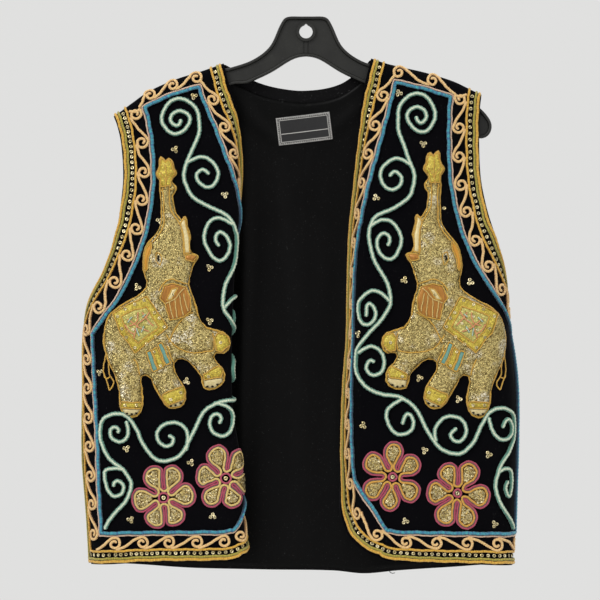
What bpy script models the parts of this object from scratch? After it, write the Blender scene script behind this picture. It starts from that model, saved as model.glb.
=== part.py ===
# Embroidered waistcoat hung open on a moulded hanger.
#
# Metres, +Z up. The fronts face -Y, and the wearer's left front lies at +X. The origin is the centre of
# the hole at the top of the hanger. The sizes and tables below are in millimetres and become metres when
# a point is placed. A flat pattern, shared by both fronts, gives q, the distance out from the centre
# front line, and z, the height, and hang_front folds it round the wearer's side and front edge.

import math
from collections import namedtuple

import bmesh
import bpy
from mathutils import Vector

MM = 0.001

# Cloth walls and the spaces between them
FRONT_WALL = 2.5
BACK_WALL = 1.5
LINING_WALL = 1.0
SEAM_GAP = 0.3
SIDE_SEAM_GAP = 0.7
FOOT_EASE = 1.5
APPLIQUE_GAP = 0.7
CORD_GAP = 0.8
CORD_TOLERANCE = 0.3

# Sewn on pieces
EDGING_RADIUS = 2.2
EDGING_INSET = 7.0
FRAME_RADIUS = 2.1
FRAME_INSET = 36.0
FRAME_SHOULDER_INSET = 19.0
VINE_RADIUS = 2.1
APPLIQUE_SHOULDER = 2.4
APPLIQUE_STEPS = (0.3, 0.8, 1.0)
ELEPHANT_THICKNESS = 6.5
FLOWER_THICKNESS = 3.0
FLOWER_RADIUS = 37.0
FLOWER_PETALS = 6
PETAL_NOTCH = 0.56
PETAL_ROUNDNESS = 0.55
LABEL_SIZE = (62.0, 32.0)
LABEL_AT = (-2.0, -112.0)
LABEL_TILT = math.radians(7)
LABEL_WALL = 0.8
LABEL_GAP = 0.8

# Hanger
HANGER_THICKNESS = 11.0
HANGER_WEB = 3.0
HANGER_RIM = 3.2
HANGER_RIM_SLOPE = 0.6
HOLE_RADIUS = 7.8
BOSS_RADIUS = 11.0
BOSS_PROUD = 0.2
ROUND_STEPS = 24

# Flat front pattern: front edge and outer edge at each height
FrontCut = namedtuple("FrontCut", "z edge outer")
FRONT_CUT = [
    FrontCut(-30, 86.0, 214.5),
    FrontCut(-68, 76.5, 214.5),
    FrontCut(-90, 71.0, 212.0),
    FrontCut(-129, 60.5, 211.0),
    FrontCut(-168, 50.0, 212.5),
    FrontCut(-195, 44.0, 217.0),
    FrontCut(-225, 38.0, 225.0),
    FrontCut(-252, 33.0, 237.0),
    FrontCut(-280, 29.5, 254.0),
    FrontCut(-305, 28.0, 275.0),
    FrontCut(-325, 27.3, 293.0),
    FrontCut(-340, 27.0, 304.0),
    FrontCut(-358, 26.8, 305.0),
    FrontCut(-428, 25.5, 304.0),
    FrontCut(-486, 26.0, 302.5),
    FrontCut(-521, 28.5, 302.1),
    FrontCut(-551, 33.5, 301.6),
    FrontCut(-573, 44.0, 301.1),
    FrontCut(-592, 60.0, 300.7),
    FrontCut(-607, 80.0, 300.3),
    FrontCut(-617, 104.0, 300.0),
]
HEM_Z = -617.0
ARMHOLE_FOOT_Z = -340.0
ARMHOLE_TOP_Z = -74.0
# Spacing of the stations that cords follow along each edge of a front
EDGE_STEP = 6.0
HEM_STEP = 10.0
SIDE_STEP = 12.0
SHOULDER_STEP = 8.0

# How each front hangs. push moves the pattern off the centre line, swing is how far it has swung in,
# side is the widest point of the side turn, and roll, roll_start and roll_radius curl the front edge
# under, by an angle in degrees from a place on the front.
Hang = namedtuple("Hang", "z swing side roll roll_start roll_radius")
LEFT_PUSH = -10.0
LEFT_HANG = [
    Hang(-30, 0, 238, 0, 88, 15),
    Hang(-68, 0, 238, 5, 88, 15),
    Hang(-110, 0, 236, 45, 85, 15),
    Hang(-168, 0, 233, 64, 79, 13),
    Hang(-231, 0, 228, 72, 72, 12.5),
    Hang(-266, 0, 227, 75, 70, 12),
    Hang(-306, 0, 233, 76, 69, 12),
    Hang(-358, 0, 238, 76, 68, 12),
    Hang(-412, 0, 243, 72, 65, 12),
    Hang(-492, 0, 243, 68, 63, 12),
    Hang(-521, 0, 242.4, 62, 67, 12),
    Hang(-551, 0, 241.8, 52, 72, 13),
    Hang(-573, 0, 241.3, 40, 76, 14),
    Hang(-596, 0, 240.8, 22, 78, 15),
    Hang(-617, 0, 240.3, 4, 80, 15),
]
RIGHT_PUSH = 10.0
RIGHT_HANG = [
    Hang(-30, 0, 245, 0, 97, 15),
    Hang(-68, 0, 243, 3, 97, 15),
    Hang(-115, 6, 238, 58, 96, 15),
    Hang(-168, 10.5, 230, 80, 92, 12),
    Hang(-215, 14, 228, 100, 89, 11),
    Hang(-268, 18.5, 234, 135, 92, 10),
    Hang(-317, 24.5, 252, 160, 94, 9.5),
    Hang(-358, 29, 257.5, 169, 95, 9),
    Hang(-428, 29.5, 257.5, 166, 94.5, 9),
    Hang(-457, 29.5, 257.5, 162, 92, 10),
    Hang(-498, 29.5, 257, 155, 88, 12.5),
    Hang(-532, 29.5, 255, 149, 87, 13.5),
    Hang(-571, 29.5, 252.7, 140, 86, 14),
    Hang(-596, 29.5, 251.2, 110, 83, 14),
    Hang(-608, 29.5, 250.5, 60, 83, 14),
    Hang(-617, 29.5, 250, 10, 84, 14),
]

# The right shoulder's extra slope has died away this far below its seam
DROOP_FADE = 150.0

# Shoulder seams and back neckline, as seen from the front
Seam = namedtuple("Seam", "x z")
LEFT_SHOULDER = [
    Seam(76, -31.0), Seam(93, -36.6), Seam(112.6, -41.3), Seam(135.5, -46.5), Seam(155, -52.0),
    Seam(174, -58.5), Seam(191.4, -67.0), Seam(204.5, -73.3),
]
RIGHT_SHOULDER = [
    Seam(96, -36.8), Seam(122.4, -46.0), Seam(152, -55.3), Seam(182, -68.7), Seam(201.8, -82.4),
    Seam(216, -92.8), Seam(224, -98.0),
]
NECKLINE = [
    Seam(-96, -36.8), Seam(-86, -42.0), Seam(-74, -49.0), Seam(-60, -56.5), Seam(-42, -62.5),
    Seam(-20, -66.5), Seam(-4, -67.5), Seam(20, -65.5), Seam(40, -60.0), Seam(54, -51.5),
    Seam(66, -41.5), Seam(76, -31.0),
]

# Back armholes, out from the centre, and the lower hem of the back
BackArmhole = namedtuple("BackArmhole", "z left right")
BACK_ARMHOLE = [
    BackArmhole(-73, 204.5, 224.0),
    BackArmhole(-98, 199.0, 219.0),
    BackArmhole(-130, 195.0, 210.0),
    BackArmhole(-170, 193.0, 206.0),
    BackArmhole(-215, 196.0, 209.0),
    BackArmhole(-255, 201.0, 220.0),
    BackArmhole(-295, 207.0, 238.0),
    BackArmhole(-340, 213.0, 257.0),
]
BACK_HEM = [
    Seam(-270, -617.5), Seam(-180, -621.0), Seam(-110, -626.0), Seam(-40, -627.5), Seam(30, -629.0),
    Seam(62, -632.0), Seam(95, -629.0), Seam(150, -625.0), Seam(235, -618.0),
]

# Half the depth of the body, by how far down from the shoulder seam
Depth = namedtuple("Depth", "drop half")
DEPTH = [
    Depth(0, 0.3), Depth(0.1, 3.4), Depth(3.5, 7.9), Depth(10, 10.2), Depth(30, 11.5), Depth(80, 16.0),
    Depth(150, 23.0), Depth(230, 29.0), Depth(270, 30.0),
]
SEAM_ROWS = [0.0, 0.1, 3.5, 10.0]

# The back neckline moves clear of the hanger by this much of its distance from the shoulder seam
NECK_SLOPE = 0.7

# The hanging wave in the back cloth, which grows down from the shoulder and dies at the side turns
BACK_WAVE = 2.5
BACK_WAVE_LENGTH = 118.0
BACK_WAVE_PHASE = 0.6
BACK_WAVE_DROP = 300.0
BACK_WAVE_EDGE = 60.0

# The back's side edge stands off the front's a little more just below the armhole
FOOT_EASE_REACH = 45.0

# The lining stops short of the back at the neckline and the hem
LINING_TOP_TRIM = 4.0
LINING_HEM_TRIM = 3.0

# One half of the hanger's outline, from the top of the head round the arm to the middle of the arch
HANGER_OUTLINE = [
    Seam(22.6, 17.7), Seam(26.6, 16.6), Seam(28.6, 13.2), Seam(33.4, 1.4), Seam(41.0, -15.7),
    Seam(51.0, -25.8), Seam(59.2, -31.2), Seam(67.3, -35.2), Seam(77.0, -38.6), Seam(88.0, -41.8),
    Seam(109.0, -47.4), Seam(125.0, -52.8), Seam(144.0, -58.6), Seam(178.6, -73.2), Seam(202.0, -88.6),
    Seam(212.0, -99.5), Seam(215.6, -107.0), Seam(215.4, -114.5), Seam(211.5, -121.0),
    Seam(203.0, -124.0), Seam(190.0, -117.5), Seam(140.0, -90.0), Seam(100.0, -68.0),
    Seam(83.0, -60.8), Seam(70.0, -60.2), Seam(59.0, -56.0), Seam(46.0, -50.0), Seam(32.0, -42.0),
    Seam(18.0, -33.2), Seam(8.0, -29.4),
]
ARCH_TOP = -28.5

# Rearing elephant in the pattern, out and up from its own centre
ELEPHANT_AT = (170.0, -290.0)
ELEPHANT_FOLD_Z = -370.0
ELEPHANT_LEVELS = [-210, -240, -270, -300, -330, -360, -390, -420]
ELEPHANT = [
    (-12, 151), (-5, 142), (0, 131), (-5, 122), (-5, 108), (-6, 90), (-3, 74), (5, 58), (14, 44),
    (20, 28), (20, 8), (18, -6), (28, -17), (46, -27), (62, -38), (70, -53), (72, -74), (66, -94),
    (58, -110), (53, -128), (51, -146), (45, -156), (32, -155), (27, -144), (28, -124), (29, -110),
    (22, -108), (13, -120), (4, -136), (-5, -146), (-17, -145), (-23, -136), (-20, -122), (-9, -104),
    (-8, -94), (-18, -89), (-32, -98), (-41, -110), (-45, -123), (-57, -124), (-67, -115), (-64, -101),
    (-54, -88), (-57, -82), (-66, -83), (-72, -72), (-66, -60), (-46, -54), (-38, -40), (-34, -18),
    (-32, -2), (-38, 12), (-44, 27), (-36, 32), (-35, 50), (-25, 62), (-20, 78), (-19, 100),
    (-18, 120), (-24, 131), (-19, 142),
]

# Flower centres in the pattern
FLOWERS = {"inner": (110.0, -515.0), "outer": (185.0, -536.0)}
FLOWER_TURN = {"inner": math.radians(30), "outer": math.radians(-3)}
FLOWER_LEVELS = (-24, -12, 0, 12, 24)

# Where an applique bends with the cloth: past the start of the edge's roll, and past the side turn
ROLL_CUTS = range(0, 28, 3)
TURN_CUTS = (0, 8, 16, 24)

# The vine's stem, from the big top curl down to the lower corner, by hand in the pattern
VINE_CURL_AT = (141.0, -98.0)
VINE_CURL = (4.5, 25.0)
VINE_CURL_TURNS = 2.0
VINE_CURL_STEPS = 36
VINE_STEM = [
    (117.0, -88.0), (115.0, -105.0), (119.0, -124.0), (127.0, -143.0), (134.0, -160.0), (137.0, -176.0),
    (134.0, -190.0), (124.0, -200.0), (109.0, -207.0), (95.0, -213.0), (86.0, -222.0), (83.0, -236.0),
    (85.0, -254.0), (92.0, -272.0), (101.0, -287.0), (107.0, -303.0), (107.0, -317.0), (100.0, -331.0),
    (88.0, -345.0), (77.0, -357.0), (70.0, -370.0), (68.0, -384.0), (71.0, -400.0), (80.0, -413.0),
    (94.0, -420.0), (113.0, -423.0), (129.0, -430.0), (141.0, -445.0), (150.0, -462.0), (160.0, -478.0),
    (176.0, -489.0), (189.0, -489.0), (202.0, -478.0), (211.0, -461.0), (219.0, -446.0), (230.0, -438.0),
    (243.0, -438.5), (253.0, -447.0), (255.0, -462.0), (251.0, -478.0), (242.0, -492.0), (233.0, -507.0),
    (229.0, -523.0), (231.0, -540.0), (240.0, -556.0), (251.0, -568.0),
]

FRONT_COLUMNS = {
    "left": [0, .05, .1, .13, .155, .18, .21, .28, .38, .5, .62, .72, .775, .82, .865, .91, .955, .991, 1],
    "right": [0, .08, .16, .2, .235, .265, .295, .325, .36, .45, .56, .67, .76, .83, .89, .945, .991, 1],
}
BACK_COLUMNS = [-1, -.99, -.92, -.82, -.7, -.56, -.4286, -.415, -.36, -.25, -.12, 0, .12, .22, .3, .355,
                .3716, .48, .62, .76, .9, .99, 1]
# Rows count in millimetres over the shoulder, then one unit from there to the foot of the armhole,
# and one more from the foot of the armhole to the hem, which the back shares with the fronts.
SHELF = SEAM_ROWS[-1]
FRONT_UPPER = [.06, .14, .22, .31, .4, .5, .6, .7, .8, .9]
BACK_UPPER = [.07, .17, .29, .43, .57, .71, .86]
FRONT_LOWER = [0, .12, .25, .38, .5, .62, .71, .78, .84, .89, .93, .965, 1]
BACK_LOWER = [0, .12, .25, .38, .5, .62, .71, .84, 1]
FRONT_ROWS = SEAM_ROWS + [SHELF + row for row in FRONT_UPPER] + [SHELF + 1 + row for row in FRONT_LOWER]
BACK_ROWS = SEAM_ROWS + [SHELF + row for row in BACK_UPPER] + [SHELF + 1 + row for row in BACK_LOWER]


GRID_POINTS = {}


def clear_scene():
    for item in list(bpy.data.objects):
        bpy.data.objects.remove(item, do_unlink=True)


def new_collection(name):
    collection = bpy.data.collections.new(name)
    bpy.context.scene.collection.children.link(collection)
    return collection


def new_material(name, colour, roughness, metallic=0.0):
    material = bpy.data.materials.new(name)
    material.use_nodes = True
    shader = material.node_tree.nodes["Principled BSDF"]
    shader.inputs["Base Color"].default_value = (*colour, 1.0)
    shader.inputs["Roughness"].default_value = roughness
    shader.inputs["Metallic"].default_value = metallic
    return material


def new_object(name, data, collection, material=None):
    item = bpy.data.objects.new(name, data)
    collection.objects.link(item)
    if material:
        data.materials.append(material)
    return item


def read(rows, column, at):
    """Smooth value of a column at a place along the table's first column, held level past its ends."""
    keys = [row[0] for row in rows]
    values = [getattr(row, column) for row in rows]
    if keys[0] > keys[-1]:
        keys.reverse()
        values.reverse()
    if at <= keys[0]:
        return values[0]
    if at >= keys[-1]:
        return values[-1]
    last = len(keys) - 1
    i = max(k for k in range(last) if keys[k] <= at)
    before, after = max(i - 1, 0), min(i + 2, last)
    step = keys[i + 1] - keys[i]
    t = (at - keys[i]) / step
    slope_in = (values[i + 1] - values[before]) / (keys[i + 1] - keys[before]) * step
    slope_out = (values[after] - values[i]) / (keys[after] - keys[i]) * step
    rise = values[i + 1] - values[i]
    return (values[i] + t * slope_in
            + t * t * (3 * rise - 2 * slope_in - slope_out)
            + t * t * t * (slope_in + slope_out - 2 * rise))


def half_depth(drop):
    """Straight between the rows, because the seam turns sharply over the hanger."""
    for above, below in zip(DEPTH, DEPTH[1:]):
        if drop <= below.drop:
            share = max(0.0, drop - above.drop) / (below.drop - above.drop)
            return above.half + (below.half - above.half) * share
    return DEPTH[-1].half


def pattern_shoulder(q):
    return read(LEFT_SHOULDER, "z", q + LEFT_PUSH)


def hang_table(side):
    return LEFT_HANG if side == "left" else RIGHT_HANG


def push(side):
    return LEFT_PUSH if side == "left" else RIGHT_PUSH


def sign(side):
    return 1 if side == "left" else -1


def droop(side, q, z):
    """The right shoulder slopes further down, and the shift dies away below it."""
    if side == "left":
        return 0.0
    seam = pattern_shoulder(q)
    fade = max(0.0, 1.0 - (seam - z) / DROOP_FADE)
    return (read(RIGHT_SHOULDER, "z", q + RIGHT_PUSH) - seam) * fade * fade


def hang_point(side, q, z):
    """A point of the flat pattern on the outer face of the hung front, in millimetres."""
    table = hang_table(side)
    half = half_depth(pattern_shoulder(q) - z)
    along = q + push(side) - read(table, "swing", z)
    turn = read(table, "side", z) - half
    start = read(table, "roll_start", z)
    x, y = along, -half
    if along > turn:
        angle = (along - turn) / half
        x = turn + half * math.sin(angle)
        y = -half * math.cos(angle)
    elif along < start:
        radius = read(table, "roll_radius", z)
        angle = min((start - along) / radius, math.radians(max(0.0, read(table, "roll", z))))
        run = start - along - radius * angle
        x = start - radius * math.sin(angle) - run * math.cos(angle)
        y = -half + radius * (1 - math.cos(angle)) + run * math.sin(angle)
    return Vector((sign(side) * x, y, z + droop(side, q, z)))


def front_top(share):
    """Height of the shoulder seam above a place between the front edge, 0, and the outer edge, 1."""
    first = FRONT_CUT[0]
    return pattern_shoulder(first.edge + (first.outer - first.edge) * share)


def row_z(top, hem, row):
    """Height of a row in a column of cloth that runs from top to hem."""
    if row <= SHELF:
        return top - row
    if row <= SHELF + 1:
        return top - SHELF + (ARMHOLE_FOOT_Z - top + SHELF) * (row - SHELF)
    return ARMHOLE_FOOT_Z + (hem - ARMHOLE_FOOT_Z) * (row - SHELF - 1)


def row_at(top, hem, z):
    """The row at a height, the other way round."""
    if z >= top - SHELF:
        return top - z
    if z >= ARMHOLE_FOOT_Z:
        return SHELF + (top - SHELF - z) / (top - SHELF - ARMHOLE_FOOT_Z)
    return SHELF + 1 + (ARMHOLE_FOOT_Z - z) / (ARMHOLE_FOOT_Z - hem)


def grid_point(side, column, row):
    """A corner of the front's grid of cloth."""
    key = (side, column, row)
    if key not in GRID_POINTS:
        share = FRONT_COLUMNS[side][column]
        z = row_z(front_top(share), HEM_Z, FRONT_ROWS[row])
        edge, outer = read(FRONT_CUT, "edge", z), read(FRONT_CUT, "outer", z)
        GRID_POINTS[key] = hang_point(side, edge + (outer - edge) * share, z)
    return GRID_POINTS[key]


def cell(stations, at):
    """The gap between two stations that holds a place, and how far across it the place is."""
    index = 0
    while index < len(stations) - 2 and stations[index + 1] < at:
        index += 1
    return index, (at - stations[index]) / (stations[index + 1] - stations[index])


def cloth_point(side, q, z):
    """A point on the flat facets of the front's own grid, in millimetres."""
    edge, outer = read(FRONT_CUT, "edge", z), read(FRONT_CUT, "outer", z)
    share = (q - edge) / (outer - edge)
    column, over = cell(FRONT_COLUMNS[side], share)
    row, down = cell(FRONT_ROWS, row_at(front_top(share), HEM_Z, z))
    upper = grid_point(side, column, row).lerp(grid_point(side, column + 1, row), over)
    lower = grid_point(side, column, row + 1).lerp(grid_point(side, column + 1, row + 1), over)
    return upper.lerp(lower, down)


def hang_front(side, q, z, lift):
    """A point of the pattern, lifted off the front's cloth, clear of its facets too, in metres."""
    step = 0.5
    across = hang_point(side, q + step, z) - hang_point(side, q - step, z)
    up = hang_point(side, q, z + step) - hang_point(side, q, z - step)
    out = across.cross(up).normalized() * sign(side)
    point = hang_point(side, q, z)
    facet = (cloth_point(side, q, z) - point).dot(out)
    return (point + out * (lift + max(0.0, facet))) * MM


def sheet(name, columns, rows, place, facing, collection, material, wall):
    """A grid of cloth laid out by place(column, row), with its wall on the side away from facing."""
    bm = bmesh.new()
    across, down = len(columns) - 1, len(rows) - 1
    bmesh.ops.create_grid(bm, x_segments=across, y_segments=down, size=0.5)
    for vertex in bm.verts:
        column = round((vertex.co.x + 0.5) * across)
        row = round((0.5 - vertex.co.y) * down)
        vertex.co = place(columns[column], rows[row])
    bm.normal_update()
    middle = sum((face.normal for face in bm.faces), Vector())
    if middle.dot(Vector(facing)) < 0:
        bmesh.ops.reverse_faces(bm, faces=bm.faces[:])
    mesh = bpy.data.meshes.new(name)
    bm.to_mesh(mesh)
    bm.free()
    mesh.shade_smooth()
    item = new_object(name, mesh, collection, material)
    solid = item.modifiers.new("Wall", "SOLIDIFY")
    solid.thickness = wall * MM
    solid.offset = -1
    return item


def back_edge(side, z):
    """Where the back meets the front's side seam, or its own armhole above that, out from the centre."""
    if z > ARMHOLE_FOOT_Z:
        return read(BACK_ARMHOLE, side, z)
    half = DEPTH[-1].half
    turn = read(hang_table(side), "side", z) - half
    seam = read(FRONT_CUT, "outer", z) + push(side) - read(hang_table(side), "swing", z)
    ease = FOOT_EASE * max(0.0, 1.0 - (ARMHOLE_FOOT_Z - z) / FOOT_EASE_REACH)
    return 2 * turn + math.pi * half - seam - SIDE_SEAM_GAP - ease


def back_top(x):
    if NECKLINE[0].x < x < NECKLINE[-1].x:
        return read(NECKLINE, "z", x)
    return read(LEFT_SHOULDER if x > 0 else RIGHT_SHOULDER, "z", abs(x))


def back_point(along, z, inward=0.0):
    """A point of the back, moved in from its outer face, in metres."""
    side = "left" if along > 0 else "right"
    seam = LEFT_SHOULDER if along > 0 else RIGHT_SHOULDER
    neck = max(0.0, seam[0].x - abs(along))
    drop = max(0.0, read(seam, "z", abs(along)) - z) + neck * NECK_SLOPE
    half = half_depth(drop)
    turn = read(hang_table(side), "side", z) - half
    level = half - inward
    wave = BACK_WAVE * math.sin(along * math.tau / BACK_WAVE_LENGTH + BACK_WAVE_PHASE)
    wave *= min(1.0, drop / BACK_WAVE_DROP)
    reach = abs(along)
    if reach > turn:
        angle = (reach - turn) / half
        x = turn + level * math.sin(angle)
        y = level * math.cos(angle)
    else:
        fade = min(1.0, (turn - reach) / BACK_WAVE_EDGE)
        x, y = reach, level + wave * fade
    return Vector((x if along > 0 else -x, y, z)) * MM


def back_place(inward, top_trim, hem_trim):
    def place(share, row):
        side = "left" if share > 0 else "right"
        width = (LEFT_SHOULDER if share > 0 else RIGHT_SHOULDER)[-1].x
        top = back_top(share * width) - top_trim
        z = row_z(top, read(BACK_HEM, "z", share * width) + hem_trim, row)
        along = share * back_edge(side, z)
        return back_point(along, z, inward)
    return place


def make_fronts(collection):
    velvet = new_material("velvet", (0.004, 0.004, 0.006), 0.95)
    for side in ("left", "right"):
        def place(column, row, side=side):
            return grid_point(side, column, row) * MM

        sheet("front_" + side, range(len(FRONT_COLUMNS[side])), range(len(FRONT_ROWS)), place, (0, -1, 0),
              collection, velvet, FRONT_WALL)


def make_back(collection):
    cloth = new_material("back_cloth", (0.006, 0.006, 0.007), 0.8)
    satin = new_material("satin", (0.012, 0.012, 0.012), 0.35)
    sheet("back", BACK_COLUMNS, BACK_ROWS, back_place(0.0, 0.0, 0.0), (0, 1, 0), collection,
          cloth, BACK_WALL)
    lining_in = BACK_WALL + SEAM_GAP
    below_seam = BACK_ROWS[len(SEAM_ROWS) - 1:]
    sheet("back_lining", BACK_COLUMNS, below_seam, back_place(lining_in, LINING_TOP_TRIM, LINING_HEM_TRIM),
          (0, 1, 0), collection, satin, LINING_WALL)


def make_label(collection):
    woven = new_material("woven_label", (0.01, 0.01, 0.012), 0.7)
    width, height = LABEL_SIZE
    inward = BACK_WALL + SEAM_GAP + LINING_WALL + LABEL_GAP

    def place(across, down):
        x = LABEL_AT[0] + across * math.cos(LABEL_TILT) + down * math.sin(LABEL_TILT)
        z = LABEL_AT[1] + across * math.sin(LABEL_TILT) - down * math.cos(LABEL_TILT)
        return back_point(x, z, inward)

    columns = [width * share for share in (-.5, -.3, -.1, .1, .3, .5)]
    rows = [height * share for share in (-.5, 0, .5)]
    sheet("label", columns, rows, place, (0, 1, 0), collection, woven, LABEL_WALL)


def cut_lines(side, z_middle):
    """Distances out along the pattern where an applique has to bend with the cloth under it."""
    table = hang_table(side)
    offset = push(side) - read(table, "swing", z_middle)
    start = read(table, "roll_start", z_middle) - offset
    turn = read(table, "side", z_middle) - DEPTH[-1].half - offset
    return [start - step for step in ROLL_CUTS] + [turn + step for step in TURN_CUTS]


def applique(name, side, outline, thickness, cuts, levels, collection, material):
    """A padded patch with a rounded shoulder, cut flat, then laid on the front."""
    bm = bmesh.new()
    face = bm.faces.new([bm.verts.new((q, z, APPLIQUE_STEPS[0])) for q, z in outline])
    for height in APPLIQUE_STEPS[1:]:
        bmesh.ops.inset_region(bm, faces=[face], thickness=APPLIQUE_SHOULDER, use_even_offset=False)
        for vertex in face.verts:
            vertex.co.z = height
    for q in cuts:
        bmesh.ops.bisect_plane(bm, geom=bm.verts[:] + bm.edges[:] + bm.faces[:], dist=1e-4,
                               plane_co=(q, 0, 0), plane_no=(1, 0, 0))
    for z in levels:
        bmesh.ops.bisect_plane(bm, geom=bm.verts[:] + bm.edges[:] + bm.faces[:], dist=1e-4,
                               plane_co=(0, z, 0), plane_no=(0, 1, 0))
    bmesh.ops.remove_doubles(bm, verts=bm.verts[:], dist=0.05)
    bmesh.ops.triangulate(bm, faces=bm.faces[:])
    weights = [vertex.co.z for vertex in bm.verts]
    for vertex in bm.verts:
        vertex.co = hang_front(side, vertex.co.x, vertex.co.y, APPLIQUE_GAP)
    bm.normal_update()
    middle = sum((triangle.normal for triangle in bm.faces), Vector())
    if middle.y > 0:
        bmesh.ops.reverse_faces(bm, faces=bm.faces[:])
    mesh = bpy.data.meshes.new(name)
    bm.to_mesh(mesh)
    bm.free()
    item = new_object(name, mesh, collection, material)
    group = item.vertex_groups.new(name="padding")
    for index, weight in enumerate(weights):
        group.add([index], weight, "REPLACE")
    solid = item.modifiers.new("Padding", "SOLIDIFY")
    solid.thickness = thickness * MM
    solid.offset = 1
    solid.vertex_group = group.name
    return item


def make_elephants(collection):
    metal = new_material("sequin_cloth", (0.55, 0.47, 0.28), 0.4, 0.6)
    outline = [(ELEPHANT_AT[0] + u, ELEPHANT_AT[1] + v) for u, v in ELEPHANT]
    for side in ("left", "right"):
        applique("elephant_" + side, side, outline, ELEPHANT_THICKNESS, cut_lines(side, ELEPHANT_FOLD_Z),
                 ELEPHANT_LEVELS, collection, metal)


def flower_outline(place):
    """Round petals in a ring, where two circles' worth of petal meet in each notch."""
    points = []
    steps = 8
    for petal in range(FLOWER_PETALS):
        for step in range(steps):
            swing = (step / steps - 0.5) * math.tau / FLOWER_PETALS
            bulge = math.cos(swing * FLOWER_PETALS / 2) ** PETAL_ROUNDNESS if step else 0.0
            reach = FLOWER_RADIUS * (PETAL_NOTCH + (1 - PETAL_NOTCH) * bulge)
            angle = petal * math.tau / FLOWER_PETALS + swing + FLOWER_TURN[place]
            points.append((FLOWERS[place][0] + reach * math.cos(angle),
                           FLOWERS[place][1] + reach * math.sin(angle)))
    return points


def make_flowers(collection):
    pink = new_material("flower_cord", (0.55, 0.05, 0.12), 0.7)
    for side in ("left", "right"):
        for place in FLOWERS:
            cuts = [q for q in cut_lines(side, FLOWERS[place][1])
                    if abs(q - FLOWERS[place][0]) < FLOWER_RADIUS - 2]
            levels = [FLOWERS[place][1] + step for step in FLOWER_LEVELS] if cuts else []
            applique("flower_" + place + "_" + side, side, flower_outline(place), FLOWER_THICKNESS, cuts,
                     levels, collection, pink)


def chain_normals(chain):
    normals = []
    for i in range(len(chain)):
        a, b = chain[max(i - 1, 0)], chain[min(i + 1, len(chain) - 1)]
        length = math.hypot(b[0] - a[0], b[1] - a[1])
        normals.append(((a[1] - b[1]) / length, (b[0] - a[0]) / length))
    return normals


def crossing(a, b, c, d):
    """Where the runs a to b and c to d cross, or None."""
    run = (b[0] - a[0], b[1] - a[1])
    other = (d[0] - c[0], d[1] - c[1])
    base = run[0] * other[1] - run[1] * other[0]
    if abs(base) < 1e-9:
        return None
    t = ((c[0] - a[0]) * other[1] - (c[1] - a[1]) * other[0]) / base
    s = ((c[0] - a[0]) * run[1] - (c[1] - a[1]) * run[0]) / base
    if 0 <= t <= 1 and 0 <= s <= 1:
        return (a[0] + run[0] * t, a[1] + run[1] * t)
    return None


def joined(first, second):
    """Trims two chains at the place where they cross."""
    for i in range(len(first) - 1):
        for k in range(len(second) - 1):
            meet = crossing(first[i], first[i + 1], second[k], second[k + 1])
            if meet:
                return first[:i + 1] + [meet], [meet] + second[k + 1:]
    return first, second


def stations(start, stop, step):
    """Even places from start to stop, about a step apart, both ends included."""
    count = math.ceil(abs(stop - start) / step)
    return [start + (stop - start) * k / count for k in range(count + 1)]


def front_outline(inset, shoulder_inset):
    """A loop set in from the cut edge of the front: edge, hem, side, armhole and shoulder in turn."""
    top, foot = FRONT_CUT[0], FRONT_CUT[-1]
    edge = [(read(FRONT_CUT, "edge", z), z) for z in stations(top.z, HEM_Z, EDGE_STEP)]
    hem = [(q, HEM_Z) for q in stations(foot.edge, foot.outer, HEM_STEP)]
    side = [(read(FRONT_CUT, "outer", z), z) for z in stations(HEM_Z, ARMHOLE_FOOT_Z, SIDE_STEP)]
    armhole = [(read(FRONT_CUT, "outer", z), z) for z in stations(ARMHOLE_FOOT_Z, ARMHOLE_TOP_Z, EDGE_STEP)]
    shoulder = [(q, pattern_shoulder(q)) for q in stations(top.outer, top.edge, SHOULDER_STEP)]
    chains = []
    for chain, distance in ((edge, inset), (hem, inset), (side, inset), (armhole, inset),
                            (shoulder, shoulder_inset)):
        normals = chain_normals(chain)
        chains.append([(p[0] + n[0] * distance, p[1] + n[1] * distance) for p, n in zip(chain, normals)])
    for i in range(len(chains)):
        after = (i + 1) % len(chains)
        chains[i], chains[after] = joined(chains[i], chains[after])
    loop = []
    for chain in chains:
        loop.extend(chain[:-1])
    return loop


def dense(path, closed, spacing=2.0):
    points = []
    ends = path + path[:1] if closed else path
    for a, b in zip(ends, ends[1:]):
        count = max(1, int(math.hypot(b[0] - a[0], b[1] - a[1]) / spacing))
        points.extend((a[0] + (b[0] - a[0]) * k / count, a[1] + (b[1] - a[1]) * k / count)
                      for k in range(count))
    if not closed:
        points.append(path[-1])
    return points


def rounded(path, steps=4):
    """A smooth curve through hand placed points."""
    points = []
    for i in range(len(path) - 1):
        a, b = path[max(i - 1, 0)], path[i]
        c, d = path[i + 1], path[min(i + 2, len(path) - 1)]
        for k in range(steps):
            t = k / steps
            points.append(tuple(
                b[j] + 0.5 * t * (c[j] - a[j] + t * (2 * a[j] - 5 * b[j] + 4 * c[j] - d[j]
                                                     + t * (3 * (b[j] - c[j]) + d[j] - a[j])))
                for j in range(2)))
    points.append(path[-1])
    return points


def thinned(points, tolerance):
    """Drops the points that lie within the tolerance of the straight run past them."""
    if len(points) < 3:
        return points
    first, last = points[0], points[-1]
    run = last - first
    length = run.length_squared
    worst, place = 0.0, 0
    for i in range(1, len(points) - 1):
        share = (points[i] - first).dot(run) / length if length else 0.0
        away = (points[i] - first - run * max(0.0, min(1.0, share))).length
        if away > worst:
            worst, place = away, i
    if worst <= tolerance:
        return [first, last]
    return thinned(points[:place + 1], tolerance)[:-1] + thinned(points[place:], tolerance)


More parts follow.
